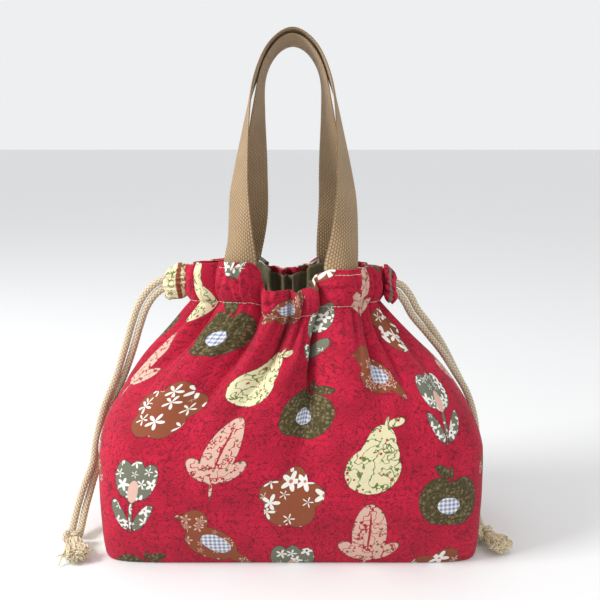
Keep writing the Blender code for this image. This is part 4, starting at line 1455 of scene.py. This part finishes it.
cord_net = Wiring("braided_cord")
turn, run = cord_net.split(cord_net.flat)
around = cord_net.math("MULTIPLY", turn, 2 * math.pi / 1000.0)
twist = cord_net.math("MULTIPLY", run, 2 * math.pi / (BRAID_PITCH * 1000.0))
rows_seen = []
for way in ("SUBTRACT", "ADD"):
    slanted = cord_net.math("MULTIPLY", cord_net.math(way, around, twist), float(BRAID_YARNS))
    rows_seen.append(cord_net.math("ABSOLUTE", cord_net.math("SINE", slanted)))
yarn = cord_net.math("MULTIPLY", rows_seen[0], rows_seen[1])
fibre = cord_net.noise(cord_net.vector("MULTIPLY", cord_net.flat, (0.02, 2.4, 1.0)), 1.0, 4.0)
# lit runs from the dark colour, painted shade in the grooves between the yarns, to the pale yarn colour where
# the yarns stand out; the fibre noise is the cord's own uneven tone
lit = cord_net.math("MULTIPLY_ADD", fibre, 0.35, cord_net.step(yarn, 0.0, 0.45), clamp=True)
braided = cord_net.finish(cord_net.mix(lit, CORD_GROOVE_PAINTED_SHADE, CORD_PALE), 0.9, yarn, 0.6, 0.0005, 0.3)

yarn_net = Wiring("loose_yarn")
spot = yarn_net.add("ShaderNodeTexCoord").outputs["Object"]
fluff = yarn_net.noise(yarn_net.vector("SCALE", spot, scale=1000.0), 0.5, 4.0)
woolly = yarn_net.mix(fluff, (0.50, 0.39, 0.23), (0.88, 0.78, 0.56))
loose = yarn_net.finish(woolly, 0.95, fluff, 0.4, 0.0003, 0.4)
stitch_net = Wiring("stitch_thread")
spot = stitch_net.add("ShaderNodeTexCoord").outputs["Object"]
ply = stitch_net.noise(stitch_net.vector("SCALE", spot, scale=1000.0), 1.6, 2.0)
thread_look = stitch_net.finish(
    stitch_net.mix(ply, (0.50, 0.38, 0.26), (0.78, 0.66, 0.50)), 0.7, ply, 0.3, 0.0001, 0.2)
for strand, _, _, _ in strands:
    strand.data.materials.append(braided)
for knot, tuft in knots.values():
    knot.data.materials.append(braided)
    tuft.data.materials.append(loose)
for piece in (casing_stitches, rim_stitches):
    piece.data.materials.append(thread_look)
print("finishes:", ", ".join(sorted(item.name for item in bpy.data.materials if item.users)))

# %% [markdown]
# ## Floor and light
#
# The bag stands on a plain pale floor under soft studio light: a pale sky all round, and large lamps
# from the upper left and from the right, so that the folds show and the shadows stay soft. The standard
# view keeps the red as strong as the dye is.

# %% Floor and light
FLOOR_SIZE = 60.0
SKY = (0.95, 0.96, 0.97)
SKY_STRENGTH = 0.90
FLOOR_TONE = (0.80, 0.80, 0.80)
FLOOR_ROUGHNESS = 0.6

floor_mesh = bmesh.new()
bmesh.ops.create_grid(floor_mesh, x_segments=1, y_segments=1, size=FLOOR_SIZE / 2)
floor = keep("floor", floor_mesh)

world = bpy.data.worlds.new("studio")
bpy.context.scene.world = world
world.use_nodes = True
world.node_tree.nodes["Background"].inputs["Color"].default_value = (*SKY, 1.0)
world.node_tree.nodes["Background"].inputs["Strength"].default_value = SKY_STRENGTH


def soft_lamp(name, place, target, size, power):
    lamp_data = bpy.data.lights.new(name, "AREA")
    lamp_data.shape = "SQUARE"
    lamp_data.size = size
    lamp_data.energy = power
    lamp = bpy.data.objects.new(name, lamp_data)
    lamp.location = place
    lamp.rotation_euler = (Vector(target) - Vector(place)).to_track_quat("-Z", "Y").to_euler()
    bpy.context.scene.collection.objects.link(lamp)
    return lamp


soft_lamp("key", (-1.2, -0.45, 1.0), (0.0, 0.0, 0.12), 0.5, 22.0)
soft_lamp("fill", (1.1, -0.7, 0.8), (0.0, 0.0, 0.12), 1.2, 2.0)
floor_look = bpy.data.materials.new("pale_floor")
floor_look.use_nodes = True
floor_shader = floor_look.node_tree.nodes["Principled BSDF"]
floor_shader.inputs["Base Color"].default_value = (*FLOOR_TONE, 1.0)
floor_shader.inputs["Roughness"].default_value = FLOOR_ROUGHNESS
floor.data.materials.append(floor_look)
bpy.context.scene.view_settings.view_transform = "Standard"
print("pale floor, two soft lamps")
